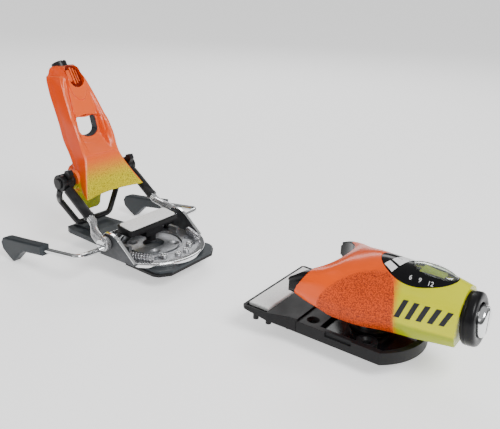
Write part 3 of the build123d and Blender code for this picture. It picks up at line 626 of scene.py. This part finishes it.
def mirrored(name, piece):
    """The mirror image of a piece on the other side."""
    mesh = piece.data.copy()
    mesh.transform(Matrix.Scale(-1, 4, (0, 1, 0)))
    mesh.flip_normals()
    return new_object(name, mesh)


def place(piece, body, slot, shade, replaced=(), crease=38):
    """Finishes a made piece: smooth shading, material, body and the CAD nodes it stands for; the slot argument is
    not used.
    """
    mesh = piece.data
    for polygon in mesh.polygons:
        polygon.use_smooth = True
        polygon.material_index = 0
    mesh.set_sharp_from_angle(angle=math.radians(crease))
    mesh.materials.clear()
    mesh.materials.append(shade)
    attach(piece, body)
    for node in replaced:
        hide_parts(node)


def round_outline(points, radius, steps=5):
    """A closed outline with its corners rounded."""
    made = []
    count = len(points)
    for i in range(count):
        here = Vector(points[i])
        before = Vector(points[i - 1]) - here
        after = Vector(points[(i + 1) % count]) - here
        reach = min(radius, before.length * 0.49, after.length * 0.49)
        a = here + before.normalized() * reach
        b = here + after.normalized() * reach
        for k in range(steps + 1):
            t = k / steps
            made.append(tuple(a * (1 - t) ** 2 + here * 2 * t * (1 - t) + b * t**2))
    return made


def rounded_box_rings(half_x, half_y, corner, z0, z1, edge, place_point):
    """Rings of a box with rounded corners and rounded upper and lower edges."""
    rings = []
    for z, inset in edge_profile(z0, z1, edge):
        hx, hy = half_x - inset, half_y - inset
        square = [(-hx, -hy), (hx, -hy), (hx, hy), (-hx, hy)]
        rings.append([place_point(x, y, z) for x, y in round_outline(square, corner)])
    return rings


def edge_profile(z0, z1, edge, steps=4):
    """Heights and insets of a side with rounded edges."""
    low = [(z0 + edge * (1 - math.cos(a)), edge * (1 - math.sin(a))) for a in quarter(steps)]
    high = [(z1 - edge * (1 - math.cos(a)), edge * (1 - math.sin(a))) for a in reversed(quarter(steps))]
    return low + high


def quarter(steps):
    """Angles of a quarter turn."""
    return [math.pi / 2 * k / steps for k in range(steps + 1)]


# ---------------------------------------------------------------- heel tower
AXLE_X, AXLE_Z = -71.0, 58.2
HOLE_Z = 99.0
HOLE_HALF = 10.6
HOLE_DROP = 6.9
TUNNEL_DEEP = 8.2
TOWER_TOP = 152.0
TOWER_FOOT = 46.2

# height, front edge, its half width, rear edge, its half width, rear middle
tower_at = spline_table([
    (152.0, -101.8, 9.2, -110.0, 12.6, -113.0),
    (144.4, -96.9, 11.2, -110.8, 14.6, -118.6),
    (143.2, -96.1, 12.9, -110.9, 16.4, -118.2),
    (132.0, -89.6, 15.9, -107.6, 17.6, -112.0),
    (118.0, -81.4, 18.2, -99.6, 19.6, -104.0),
    (104.0, -74.0, 20.0, -93.0, 20.4, -95.4),
    (90.0, -67.1, 20.5, -87.6, 21.0, -89.8),
    (78.7, -61.5, 20.2, -79.5, 22.0, -81.5),
    (70.0, -57.6, 22.6, -74.6, 22.8, -76.5),
    (60.0, -52.6, 27.0, -69.5, 24.5, -71.5),
    (52.0, -48.0, 31.0, -60.0, 28.6, -63.0),
    (46.2, -44.2, 33.4, -54.0, 31.0, -58.5),
])
# height, how far the middle of the front lies behind its edges
dish_at = spline_table([
    (46.2, 7.0), (60.0, 3.9), (72.0, 1.3), (77.5, 0.7), (79.5, 1.2), (84.0, 4.6), (88.0, 6.8), (92.0, 7.8),
    (100.0, 6.8), (108.0, 5.2), (112.0, 5.0), (120.6, 2.8), (133.6, 0.2), (143.0, -3.4), (152.0, -6.2),
])


def front_depth(y, z, half):
    """How far the front lies behind the line between its edges, with the ridges round the hole."""
    u = abs(y)
    share = min(u / half, 1.0)
    bowl = 1 - share**2
    trough = 1 - 0.46 * smooth_step(u, 10.8, 14.2) - 0.54 * smooth_step(u, 12.5, half - 0.6)
    dome = 1 - share**2.4
    middle = smooth_step(z, 76, 82) * (1 - smooth_step(z, 126, 138))
    top = smooth_step(z, 126, 138)
    form = bowl * (1 - middle - top) + trough * middle + dome * top
    depth = dish_at(z)[0] * form
    # terraces that run round the foot of the hole
    ring = math.hypot(y, max(HOLE_Z - z, 0) / 0.78)
    fade = 1 - smooth_step(z, 104, 112)
    depth -= 0.9 * fade * (smooth_step(ring, 12.4, 12.9) - smooth_step(ring, 20, 30))
    depth -= 0.8 * fade * (smooth_step(ring, 15.4, 15.9) - smooth_step(ring, 20, 30))
    # raised band from the hole's lip to the top
    band = 14.2 - 0.155 * (z - 110)
    lip = 111.0 - 0.012 * u * u
    depth -= 1.9 * (1 - smooth_step(u, band - 0.4, band + 0.4)) * smooth_step(z, lip - 0.4, lip + 0.4)
    # drop-shaped pad round the window
    drop = math.hypot(y / 9.4, (z - 138.5) / 14.5)
    depth -= 1.0 * (1 - smooth_step(drop, 0.96, 1.03)) * smooth_step(z, 122, 124)
    # pressed line above the claw
    depth += 0.7 * math.exp(-(((z - 78.6) / 0.8) ** 2)) * (1 - smooth_step(u, half - 4, half - 2))
    return depth


def tower_ring(z, wall=0.0, open_back=0.0, inset=0.0):
    """One level of the tower, from the middle of its front round to the other side."""
    fe, fy, re, ry, rm = tower_at(z)
    fy -= wall + inset
    ry -= wall + inset
    half = []
    for k in range(46):
        y = fy * k / 45
        x = fe - front_depth(y, z, fy + wall + inset) - wall - inset
        corner = smooth_step(y, fy - 2.2, fy) * 1.1
        half.append((x - corner, y))
    start, end = half[-1][0], re + inset - open_back
    for k in range(1, 12):
        t = k / 12
        y = fy + (ry - fy) * t
        bulge = 0.5 * math.sin(math.pi * t)
        rim = 0.75 * smooth_step(t, 0.80, 0.86) if not wall else 0.0
        half.append((start + (end - start) * t, y + bulge + rim))
    for k in range(9):
        t = k / 8
        half.append((re + inset + (rm - re) * math.sin(t * math.pi / 2) - open_back, (ry + 0.4) * (1 - t)))
    points = half[:-1] + [(half[-1][0], 0.0)] + [(x, -y) for x, y in reversed(half[1:-1])]
    return [(x, y, z) for x, y in points]


def spring_spot(distance, back=0.0):
    """A point on the heel spring's line."""
    s, c = math.sin(TOWER_LEAN), math.cos(TOWER_LEAN)
    return (-95.5 - s * distance - c * back, 0.0, 121.0 + c * distance - s * back)


def window_point(across, along, out):
    """A point in the window's plane: across in Y, along the spring's line, and out to the front."""
    s, c = math.sin(TOWER_LEAN), math.cos(TOWER_LEAN)
    ox, _, oz = spring_spot(19.0, -4.4)
    return (ox - s * along + c * out, across, oz + c * along + s * out)


def slot_outline(length, width, steps=14):
    """A long round-ended outline, as across and along."""
    reach = (length - width) / 2
    points = []
    for end in (1, -1):
        for k in range(steps + 1):
            a = math.pi * k / steps + (0 if end > 0 else math.pi)
            points.append((width / 2 * math.cos(a), end * reach + width / 2 * math.sin(a)))
    return points


def window_prism(name, length, width, low, high, shift=0.0):
    """A slot-shaped prism square to the window's plane."""
    outline = slot_outline(length, width)
    return skin(name, [[window_point(a, b + shift, out) for a, b in outline] for out in (low, high)])


def hole_foot(angle):
    """A point on the round foot of the see-through hole, as Y and Z."""
    return (HOLE_HALF * math.cos(angle), HOLE_Z - HOLE_DROP * math.sin(angle))


def build_tower(shades):
    """The leaning housing with its dished front, hole, window recess and flared claw."""
    levels = list(np.arange(TOWER_FOOT, TOWER_TOP - 3.0, 0.6)) + [TOWER_TOP - 3.0]
    rings = [tower_ring(z) for z in levels]
    for a in quarter(6)[1:]:
        z = TOWER_TOP - 3 + 3 * math.sin(a)
        rings.append(tower_ring(z, inset=2.6 * (1 - math.cos(a))))
    tower = skin("tower", rings)
    hollow = skin("hollow", [tower_ring(z, 2.2, 16.0) for z in np.arange(40.0, 117.1, 1.5)])
    carve(tower, hollow)
    carve(tower, slab("back", (-120, -22, 30), (AXLE_X + 9, 22, 70)))
    carve(tower, slab("foot", (-120, -40, 30), (-60, 40, 49.5)))
    bores = [
        bar("bore", spring_spot(-16), spring_spot(24), 6.8),
        bar("bore", spring_spot(23), spring_spot(30), 3.6),
        bar("bore", spring_spot(29.3), spring_spot(50), 7.2),
    ]
    for bore in bores:
        carve(tower, bore)
    steps = 16
    hole = [hole_foot(a) for a in np.linspace(0, math.pi, steps)]
    across = np.linspace(-HOLE_HALF, HOLE_HALF, steps)
    lip = [(y, 110.6 - 1.6 * math.cos(math.pi / 2 * y / HOLE_HALF)) for y in across]
    outline = hole + lip
    carve(tower, skin("hole", [[(x, y, z) for y, z in outline] for x in (-130, -40)]))
    carve(tower, window_prism("recess", 22.0, 16.4, 5.2, 25, 0.4))
    carve(tower, window_prism("well", 19.0, 10.6, 0.0, 25))
    ears = []
    for side in (-1, 1):
        ears.append(bar("ear", (AXLE_X, side * 19.8, AXLE_Z), (AXLE_X, side * 28.0, AXLE_Z), 8.5))
    ears_piece = merge("tower_ears", ears)
    for piece in (tower, ears_piece):
        carve(piece, bar("axle", (AXLE_X, -50, AXLE_Z), (AXLE_X, 50, AXLE_Z), 3.6))
    place(tower, "heel_tower", "tower_plastic", shades["tower_plastic"], ["heel_housing"], 32)
    place(ears_piece, "heel_tower", "tower_plastic", shades["tower_plastic"])


def build_tunnel(shades):
    """Dark liner round the foot and sides of the hole."""
    path = [(HOLE_HALF, z) for z in np.linspace(108.6, HOLE_Z, 8)]
    path += [hole_foot(a) for a in np.linspace(0, math.pi, 24)[1:-1]]
    path += [(-HOLE_HALF, z) for z in np.linspace(HOLE_Z, 108.6, 8)]
    rings = []
    for y, z in path:
        fe, fy = tower_at(z)[:2]
        front = fe - front_depth(y, z, fy)
        out_y = y * (1 + 0.9 / HOLE_HALF)
        out_z = z - 0.9 * max(HOLE_Z - z, 0) / HOLE_DROP
        in_y = y * (1 - 0.2 / HOLE_HALF)
        in_z = z + 0.2 * max(HOLE_Z - z, 0) / HOLE_DROP
        back = front - TUNNEL_DEEP
        inner = [(front - 0.7, in_y, in_z), (back, in_y, in_z)]
        rings.append(inner + [(back, out_y, out_z), (front - 0.9, out_y, out_z)])
    place(skin("tunnel", rings), "heel_tower", "grey_plastic", shades["grey_plastic"])


def build_window(shades):
    """Ribbed insert in the tower's window."""
    base = window_prism("window_base", 21.7, 16.1, 4.2, 6.4, 0.4)
    carve(base, window_prism("slot", 12.5, 3.4, 0, 20))
    place(base, "heel_tower", "window_red", shades["window_red"], ["heel_window_insert"])
    # each rib's place across the window, its width and its height
    for across, wide, high in ((-4.9, 3.8, 8.6), (-0.9, 1.8, 8.2), (2.2, 1.1, 7.8), (4.9, 0.8, 7.4)):
        length = 17.0 - abs(across) * 1.2
        outline = [(across + a, b + 0.8) for a, b in slot_outline(length, wide)]
        rib = skin("window_rib", [[window_point(a, b, out) for a, b in outline] for out in (6.3, high)])
        place(rib, "heel_tower", "tower_plastic", shades["tower_plastic"])


def build_treadle(shades):
    """Rough rounded lobe behind the axle."""
    form = spline_table([
        (66.0, -82.0, -92.6, 14.6), (58.0, -81.4, -95.2, 15.6), (50.0, -81.3, -96.0, 16.2),
        (37.0, -82.0, -95.4, 15.8), (28.0, -81.8, -90.5, 14.0), (22.0, -81.4, -86.6, 12.0),
        (20.4, -81.6, -84.8, 10.8),
    ])
    rings = []
    for z in np.linspace(20.5, 66.0, 40):
        front, rear, half = form(z)
        end = min(z - 20.4, 66.1 - z)
        inset = 1.6 * (1 - smooth_step(end, 0, 3.5))
        x0, x1, y1 = rear + inset, front - inset, half - inset
        square = [(x0, -y1), (x1, -y1), (x1, y1), (x0, y1)]
        rings.append([(x, y, z) for x, y in round_outline(square, 4.0)])
    treadle = skin("treadle", rings)
    place(treadle, "heel_tower", "treadle_plastic", shades["treadle_plastic"], ["heel_treadle"])


# ---------------------------------------------------------------- toe head
TX = TOE_X / MM
SOCKET_X, SOCKET_R = -31.5, 41.4
DECK_X, DECK_LONG, DECK_WIDE = 61.0, 26.0, 16.6

# X, then half width and height of the lower edge, side, shoulder and upper edge, and the crown's height
head_at = spline_table([
    (-14.0, 35.0, 31.6, 38.6, 35.0, 38.4, 40.0, 36.8, 43.6, 45.0),
    (-4.0, 33.6, 27.0, 38.0, 35.0, 36.8, 44.0, 31.0, 49.0, 50.0),
    (6.0, 32.0, 23.5, 36.0, 34.0, 33.5, 45.5, 27.0, 51.5, 53.0),
    (17.6, 28.5, 18.6, 32.5, 31.0, 27.5, 46.5, 18.0, 55.4, 58.4),
    (34.0, 26.0, 17.8, 29.0, 29.0, 23.6, 46.5, 14.6, 57.0, 61.6),
    (53.0, 21.5, 18.4, 25.0, 27.2, 20.6, 46.6, 12.9, 56.8, 61.6),
    (72.0, 19.0, 19.0, 22.8, 28.0, 19.8, 46.8, 12.6, 56.4, 60.8),
    (84.0, 16.8, 19.4, 21.0, 28.5, 18.6, 46.0, 11.9, 55.0, 59.2),
    (96.0, 14.5, 19.8, 19.6, 29.0, 17.6, 45.0, 11.0, 52.6, 56.0),
])


def head_half(x, inset=0.0):
    """Half cross section of the toe head, from the lower edge up to the crown."""
    v = head_at(x)
    low, side, shoulder, top = [(v[i] - inset, v[i + 1]) for i in (0, 2, 4, 6)]
    crown = (0.0, v[8] - inset)
    run = [low, side, shoulder, top, crown, (-top[0], top[1])]
    run = [Vector(p) for p in run]
    points = [low, tuple((run[0] + run[1]) / 2 + Vector((0.5, -0.2)))]
    for i in range(1, 4):
        before = run[i - 1] if i > 1 else run[1] * 2 - run[2] + Vector((-2.0, -2.0))
        a, b, after = run[i], run[i + 1], run[i + 2]
        for k in range(9):
            t = k / 9
            p = 0.5 * (2 * a + (b - before) * t + (2 * before - 5 * a + 4 * b - after) * t**2)
            points.append(tuple(p + 0.5 * (3 * a - before - 3 * b + after) * t**3))
    points.append(crown)
    return points


def head_ring(x, inset=0.0):
    """Full cross section of the toe head."""
    half = head_half(x, inset)
    points = half + [(-y, z) for y, z in reversed(half[:-1])]
    return [(TX + x, y, z - (inset if z > 45 else 0)) for y, z in points]


def head_top(x, y):
    """Height of the head's upper surface at a place."""
    half = sorted((abs(p[0]), p[1]) for p in head_half(x)[10:])
    return float(np.interp(abs(y), [p[0] for p in half], [p[1] for p in half]))


def deck_outline(grow, steps=72):
    """Oval outline of the scale panel, in X and Y."""
    turn = [2 * math.pi * k / steps for k in range(steps)]
    return [(TX + DECK_X + (DECK_LONG + grow) * math.cos(t), (DECK_WIDE + grow) * math.sin(t)) for t in turn]


def build_head(shades):
    """Toe head with its socket, pocket and panel seat, and the two slanted wing tips."""
    xs = list(np.arange(-14.0, 96.01, 1.6))
    head = skin("toe_head", [head_ring(x) for x in xs])
    carve(head, bar("socket", (TX + SOCKET_X, 0, 0), (TX + SOCKET_X, 0, 80), SOCKET_R, 128))
    tips = new_object("wing_tips", head.data.copy())
    # the slanted joint between wing and tip, seen from the side
    joint = [(-11.2, 29.0), (-8.6, 38.0), (-1.5, 50.0), (-1.5, 70.0)]
    behind = [(TX + x, z) for x, z in [(-40, 0), (-11.2, 0)] + joint + [(-40, 70)]]
    ahead = [(TX + x + 0.25, z) for x, z in [(120, 0), (120, 70)] + joint[::-1] + [(-11.2, 0)]]
    carve(head, prism_y("behind", behind, -60, 60))
    carve(tips, prism_y("ahead", ahead, -60, 60))
    carve(head, slab("pocket", (TX + 19.5, -15.5, 0), (TX + 47, 15.5, 46.5)))
    carve(head, bar("lift", (TX + 32, -19.8, 24), (TX + 32, 19.8, 24), 3.1))
    carve(head, bar("barrel", (TX + 40, 0, 36), (TX + 110, 0, 36), 12.5, 64))
    seat = skin("seat", [[(x, y, z) for x, y in deck_outline(0.1)] for z in (40.0, 80.0)])
    floor = skin("floor", [head_ring(x, 1.3) for x in np.arange(20.0, 97.0, 2.0)])
    carve(seat, floor)
    carve(head, seat)
    carve(head, slab("slit", (TX + 58, -3.2, 40), (TX + 84, 3.2, 70)))
    place(head, "toe_head", "toe_plastic", shades["toe_plastic"], ["toe_housing"], 30)
    place(tips, "toe_head", "black_plastic", shades["tip_black"], ["right_wing_tip", "left_wing_tip"], 30)
    right = inner_pad()
    for pad in (right, mirrored("left_pad", right)):
        place(pad, "toe_head", "black_plastic", shades["tip_black"], (), 50)


def inner_pad():
    """Black facing on the inside of a wing, on the right, with a slanted front end."""
    rings = []
    for angle in np.linspace(math.radians(66), math.radians(24), 30):
        x = SOCKET_X + SOCKET_R * math.cos(angle)
        y = SOCKET_R * math.sin(angle)
        low = max(head_at(x)[1] + 1.2, 29.0 + (x + 11.2) * 0.85)
        high = max(head_top(x, y) - 0.5, low + 0.3)
        ring = []
        outer = (SOCKET_R + 0.1, np.linspace(low, high, 7))
        inner = (SOCKET_R - 0.6, np.linspace(high - 0.4, low + 0.4, 7))
        for radius, heights in (outer, inner):
            for z in heights:
                ring.append((TX + SOCKET_X + radius * math.cos(angle), -radius * math.sin(angle), z))
        rings.append(ring)
    return skin("right_pad", rings)


def on_head(x, y, lift):
    """A point on the head's upper surface."""
    return (TX + x, y, head_top(x, y) + lift)


def build_deck(shades):
    """Black scale panel, with the slit through it."""
    rings = []
    for share in (1.0, 0.98, 0.86, 0.7, 0.55, 0.4, 0.25, 0.1):
        ring = []
        for k in range(72):
            t = 2 * math.pi * k / 72
            x = DECK_X + DECK_LONG * share * math.cos(t)
            y = DECK_WIDE * share * math.sin(t)
            lift = 0.0 if share == 1.0 else 0.12
            ring.append(on_head(x, y, lift))
        rings.append(ring)
    under = [[(x, y, z - 1.1) for x, y, z in ring] for ring in rings]
    deck = skin("toe_deck", list(reversed(under)) + rings)
    carve(deck, slab("slit", (TX + 58, -3.2, 40), (TX + 84, 3.2, 80)))
    place(deck, "toe_head", "black_gloss", shades["black_gloss"], ["toe_deck"], 40)


def strip_on(name, corners, surface, lift, steps=14):
    """A thin patch laid over a surface between four corners given in the surface's own two numbers."""
    rings = []
    for i in range(steps + 1):
        s = i / steps
        a = Vector(corners[0]).lerp(Vector(corners[1]), s)
        b = Vector(corners[3]).lerp(Vector(corners[2]), s)
        row = [a.lerp(b, k / 4) for k in range(5)]
        upper = [surface(p.x, p.y, lift) for p in row]
        lower = [surface(p.x, p.y, lift - 0.25) for p in reversed(row)]
        rings.append(upper + lower)
    return skin(name, rings)


def glyph_on(name, text, size, origin, across, upward, surface, lift):
    """A printed number laid over a surface; across and upward are directions in the surface's two numbers."""
    curve = bpy.data.curves.new(name, "FONT")
    curve.body = text
    curve.size = size
    curve.extrude = 0.1
    curve.resolution_u = 3
    source = bpy.data.objects.new(name, curve)
    bpy.context.scene.collection.objects.link(source)
    graph = bpy.context.evaluated_depsgraph_get()
    mesh = bpy.data.meshes.new_from_object(source.evaluated_get(graph))
    bpy.data.objects.remove(source)
    for v in mesh.vertices:
        a = origin[0] + across[0] * v.co.x + upward[0] * v.co.y
        b = origin[1] + across[1] * v.co.x + upward[1] * v.co.y
        v.co = Vector(surface(a, b, lift + v.co.z)) * MM
    return new_object(name, mesh)


def on_side(x, s, lift):
    """A point on the head's right-hand side; s runs up the section from its side crease."""
    half = head_half(x)[2:]
    walked = [0.0]
    for p, q in zip(half, half[1:]):
        walked.append(walked[-1] + math.hypot(q[0] - p[0], q[1] - p[1]))
    y = float(np.interp(s, walked, [p[0] for p in half]))
    z = float(np.interp(s, walked, [p[1] for p in half]))
    out = Vector((y, z - 38)).normalized() * lift
    return (TX + x, -(y + out.x), z + out.y)


def build_prints(shades):
    """Plain printed marks: two white bars and numbers on the panel, and slanted bars on the side."""
    bars = [
        strip_on("deck_bar", [(40.5, -9.6), (47.6, -13.2), (49.6, -9.0), (42.5, -5.4)], on_head, 0.2),
        strip_on("deck_bar", [(43.2, -3.8), (50.4, -7.4), (56.4, 5.2), (49.2, 8.8)], on_head, 0.2),
    ]
    for piece in bars:
        place(piece, "toe_head", "pad_white", shades["print_white"])
    for text, x in (("6", 59.4), ("9", 65.6), ("12", 71.6)):
        number = glyph_on("deck_number", text, 4.2, (x, -14.0), (0.95, 0.12), (-0.1, 0.95), on_head, 0.2)
        place(number, "toe_head", "pad_white", shades["print_white"])
    for k in range(5):
        x = 56.5 + 7.0 * k
        low, high = 5.0 + 0.3 * k, 17.5 - 0.4 * k
        corners = [(x, low), (x + 4.2, high), (x + 7.6, high), (x + 3.4, low)]
        piece = strip_on("side_bar", corners, on_side, 0.16)
        place(piece, "toe_head", "black_plastic", shades["print_dark"])


def build_toe_window(shades):
    """Clear hump over the indicator."""
    rings = []
    for k in range(1, 13):
        a = math.pi / 2 * k / 12
        ring = []
        for m in range(48):
            t = 2 * math.pi * m / 48
            x = 71.5 + 15.0 * math.sin(a) * math.cos(t)
            y = 8.0 * math.sin(a) * math.sin(t)
            ring.append((TX + x, y, head_top(x, y) + 0.25 + 2.9 * math.cos(a)))
        rings.append(ring)
    inner = []
    for ring in reversed(rings):
        inner.append([(x * 0.93 + (TX + 71.5) * 0.07, y * 0.93, z - 0.55) for x, y, z in ring])
    hump = skin("toe_window", rings + inner)
    place(hump, "toe_head", "clear", shades["clear"], ["toe_window"], 60)
    pointer = strip_on("toe_pointer", [(63.5, -6.6), (79.0, -5.6), (80.5, -1.2), (64.5, 1.6)], on_head, 0.5)
    place(pointer, "toe_head", "indicator", shades["indicator"])


def build_cap(shades):
    """Black end ring with soft shoulders round the adjusting screw."""
    profile = [(0.05, 15.0), (0.05, 16.9), (0.5, 17.4), (2.0, 17.6), (2.3, 17.2), (2.9, 17.2), (3.2, 17.7)]
    profile += [(6.6, 17.7), (7.8, 17.1), (8.5, 15.9), (8.8, 14.2), (8.8, 12.6), (8.2, 11.4), (0.6, 11.4)]
    turned = profile + [(0.05, 12.5)]
    sides = 72
    rings = []
    start = Vector((TX + 96.1, 0, 35.5))
    axis = Vector((8.4, 0, 1.1)).normalized()
    u = Vector((0, 1, 0))
    v = axis.cross(u)
    for along, radius in turned:
        centre = start + axis * along
        turn = [2 * math.pi * k / sides for k in range(sides)]
        rings.append([tuple(centre + radius * (math.cos(t) * u + math.sin(t) * v)) for t in turn])
    cap = skin("toe_cap", rings + [rings[0]], False)
    place(cap, "toe_head", "black_plastic", shades["cap_black"], ["toe_cap"], 40)


# ---------------------------------------------------------------- heel details
def build_lugs(shades):
    """Forged lugs from the pivot bolts to the rods."""
    ax, az = -34.4, 31.2
    dx, dz = -0.8047, 0.5937
    stations = spline_table([
        (-24.0, -45.4, 5.4, 5.2, 0.75), (-18.0, -45.3, 5.4, 5.2, 0.75), (-12.5, -44.4, 5.1, 5.6, 0.75),
        (-10.0, -43.5, 4.7, 6.2, 0.8), (-7.0, -42.0, 4.0, 6.4, 1.0), (-3.0, -39.3, 3.7, 6.8, 1.0),
        (0.2, -38.0, 3.7, 7.4, 1.0),
    ])
    rings = []
    for d in np.linspace(-24.0, 0.2, 40):
        y, half, thick, square = stations(d)
        tilt = -1.6 * (1 - smooth_step(d, -20, -8))
        ring = []
        for k in range(36):
            t = 2 * math.pi * k / 36
            c, s = math.cos(t), math.sin(t)
            side = half * math.copysign(abs(s) ** square, s) + tilt
            depth = thick / 2 * math.copysign(abs(c) ** square, c)
            ring.append((ax + dx * d - dz * side, y + depth, az + dz * d + dx * side))
        rings.append(ring)
    blade = skin("blade", rings)
    hub = lathe("hub", (-12.3, -48.0, 19.15), (0, 1, 0), [(0, 5.6), (0.5, 6.3), (4.7, 6.3), (5.2, 5.8)])
    lug = merge("right_lug", [blade, hub])
    other = mirrored("left_lug", lug)
    place(lug, "heel_arms", "cast_metal", shades["cast_metal"], ["right_arm_lug"])
    place(other, "heel_arms", "cast_metal", shades["cast_metal"], ["left_arm_lug"])


def build_cheek_edges(shades):
    """Bright worn edge that follows the top of each cheek."""
    crest = [(-18.5, 23.0), (-14.0, 27.0), (-6.0, 27.0), (-0.6, 25.0), (19.2, 8.0)]
    over = [(-19.0, 23.5), (-14.2, 27.7), (-5.9, 27.7), (-0.2, 25.6), (19.7, 8.5)]
    edge = prism_y("right_cheek_edge", crest + over[::-1], -42.5, -39.9)
    for piece in (edge, mirrored("left_cheek_edge", edge)):
        place(piece, "turntable", "chromed", shades["chromed"])


def build_pedal(shades):
    """Brake pedal: a thick black tray with rounded ends, and the white pad set into it."""
    slope = (27.6 - 30.2) / 17.2

    def seat(x, y, z):
        return (-6.0 + x, y, 25.55 + z + slope * x)

    tray = skin("pedal_tray", rounded_box_rings(8.9, 29.6, 4.5, -2.2, 3.6, 1.2, seat))
    rib = skin("pedal_rib", rounded_box_rings(6.4, 26.2, 3.0, -3.3, 0.0, 0.8, seat))
    for y0, y1 in ((-24.5, -14.5), (14.5, 24.5)):
        carve(rib, slab("gap", (-30, y0, 10), (10, y1, 24)))
    body = merge("pedal", [tray, rib])
    place(body, "brake_foot", "black_plastic", shades["black_plastic"])
    pad = skin("pedal_pad", rounded_box_rings(7.7, 27.8, 3.2, 2.6, 4.35, 0.5, seat))
    place(pad, "brake_foot", "pad_white", shades["pad_white"], ["brake_pad"])


shades = build_materials()
add_camera()
add_studio()
dress_nodes(shades)
build_tower(shades)
build_tunnel(shades)
build_window(shades)
build_treadle(shades)
build_head(shades)
build_deck(shades)
build_prints(shades)
build_toe_window(shades)
build_cap(shades)
build_lugs(shades)
build_cheek_edges(shades)
build_pedal(shades)
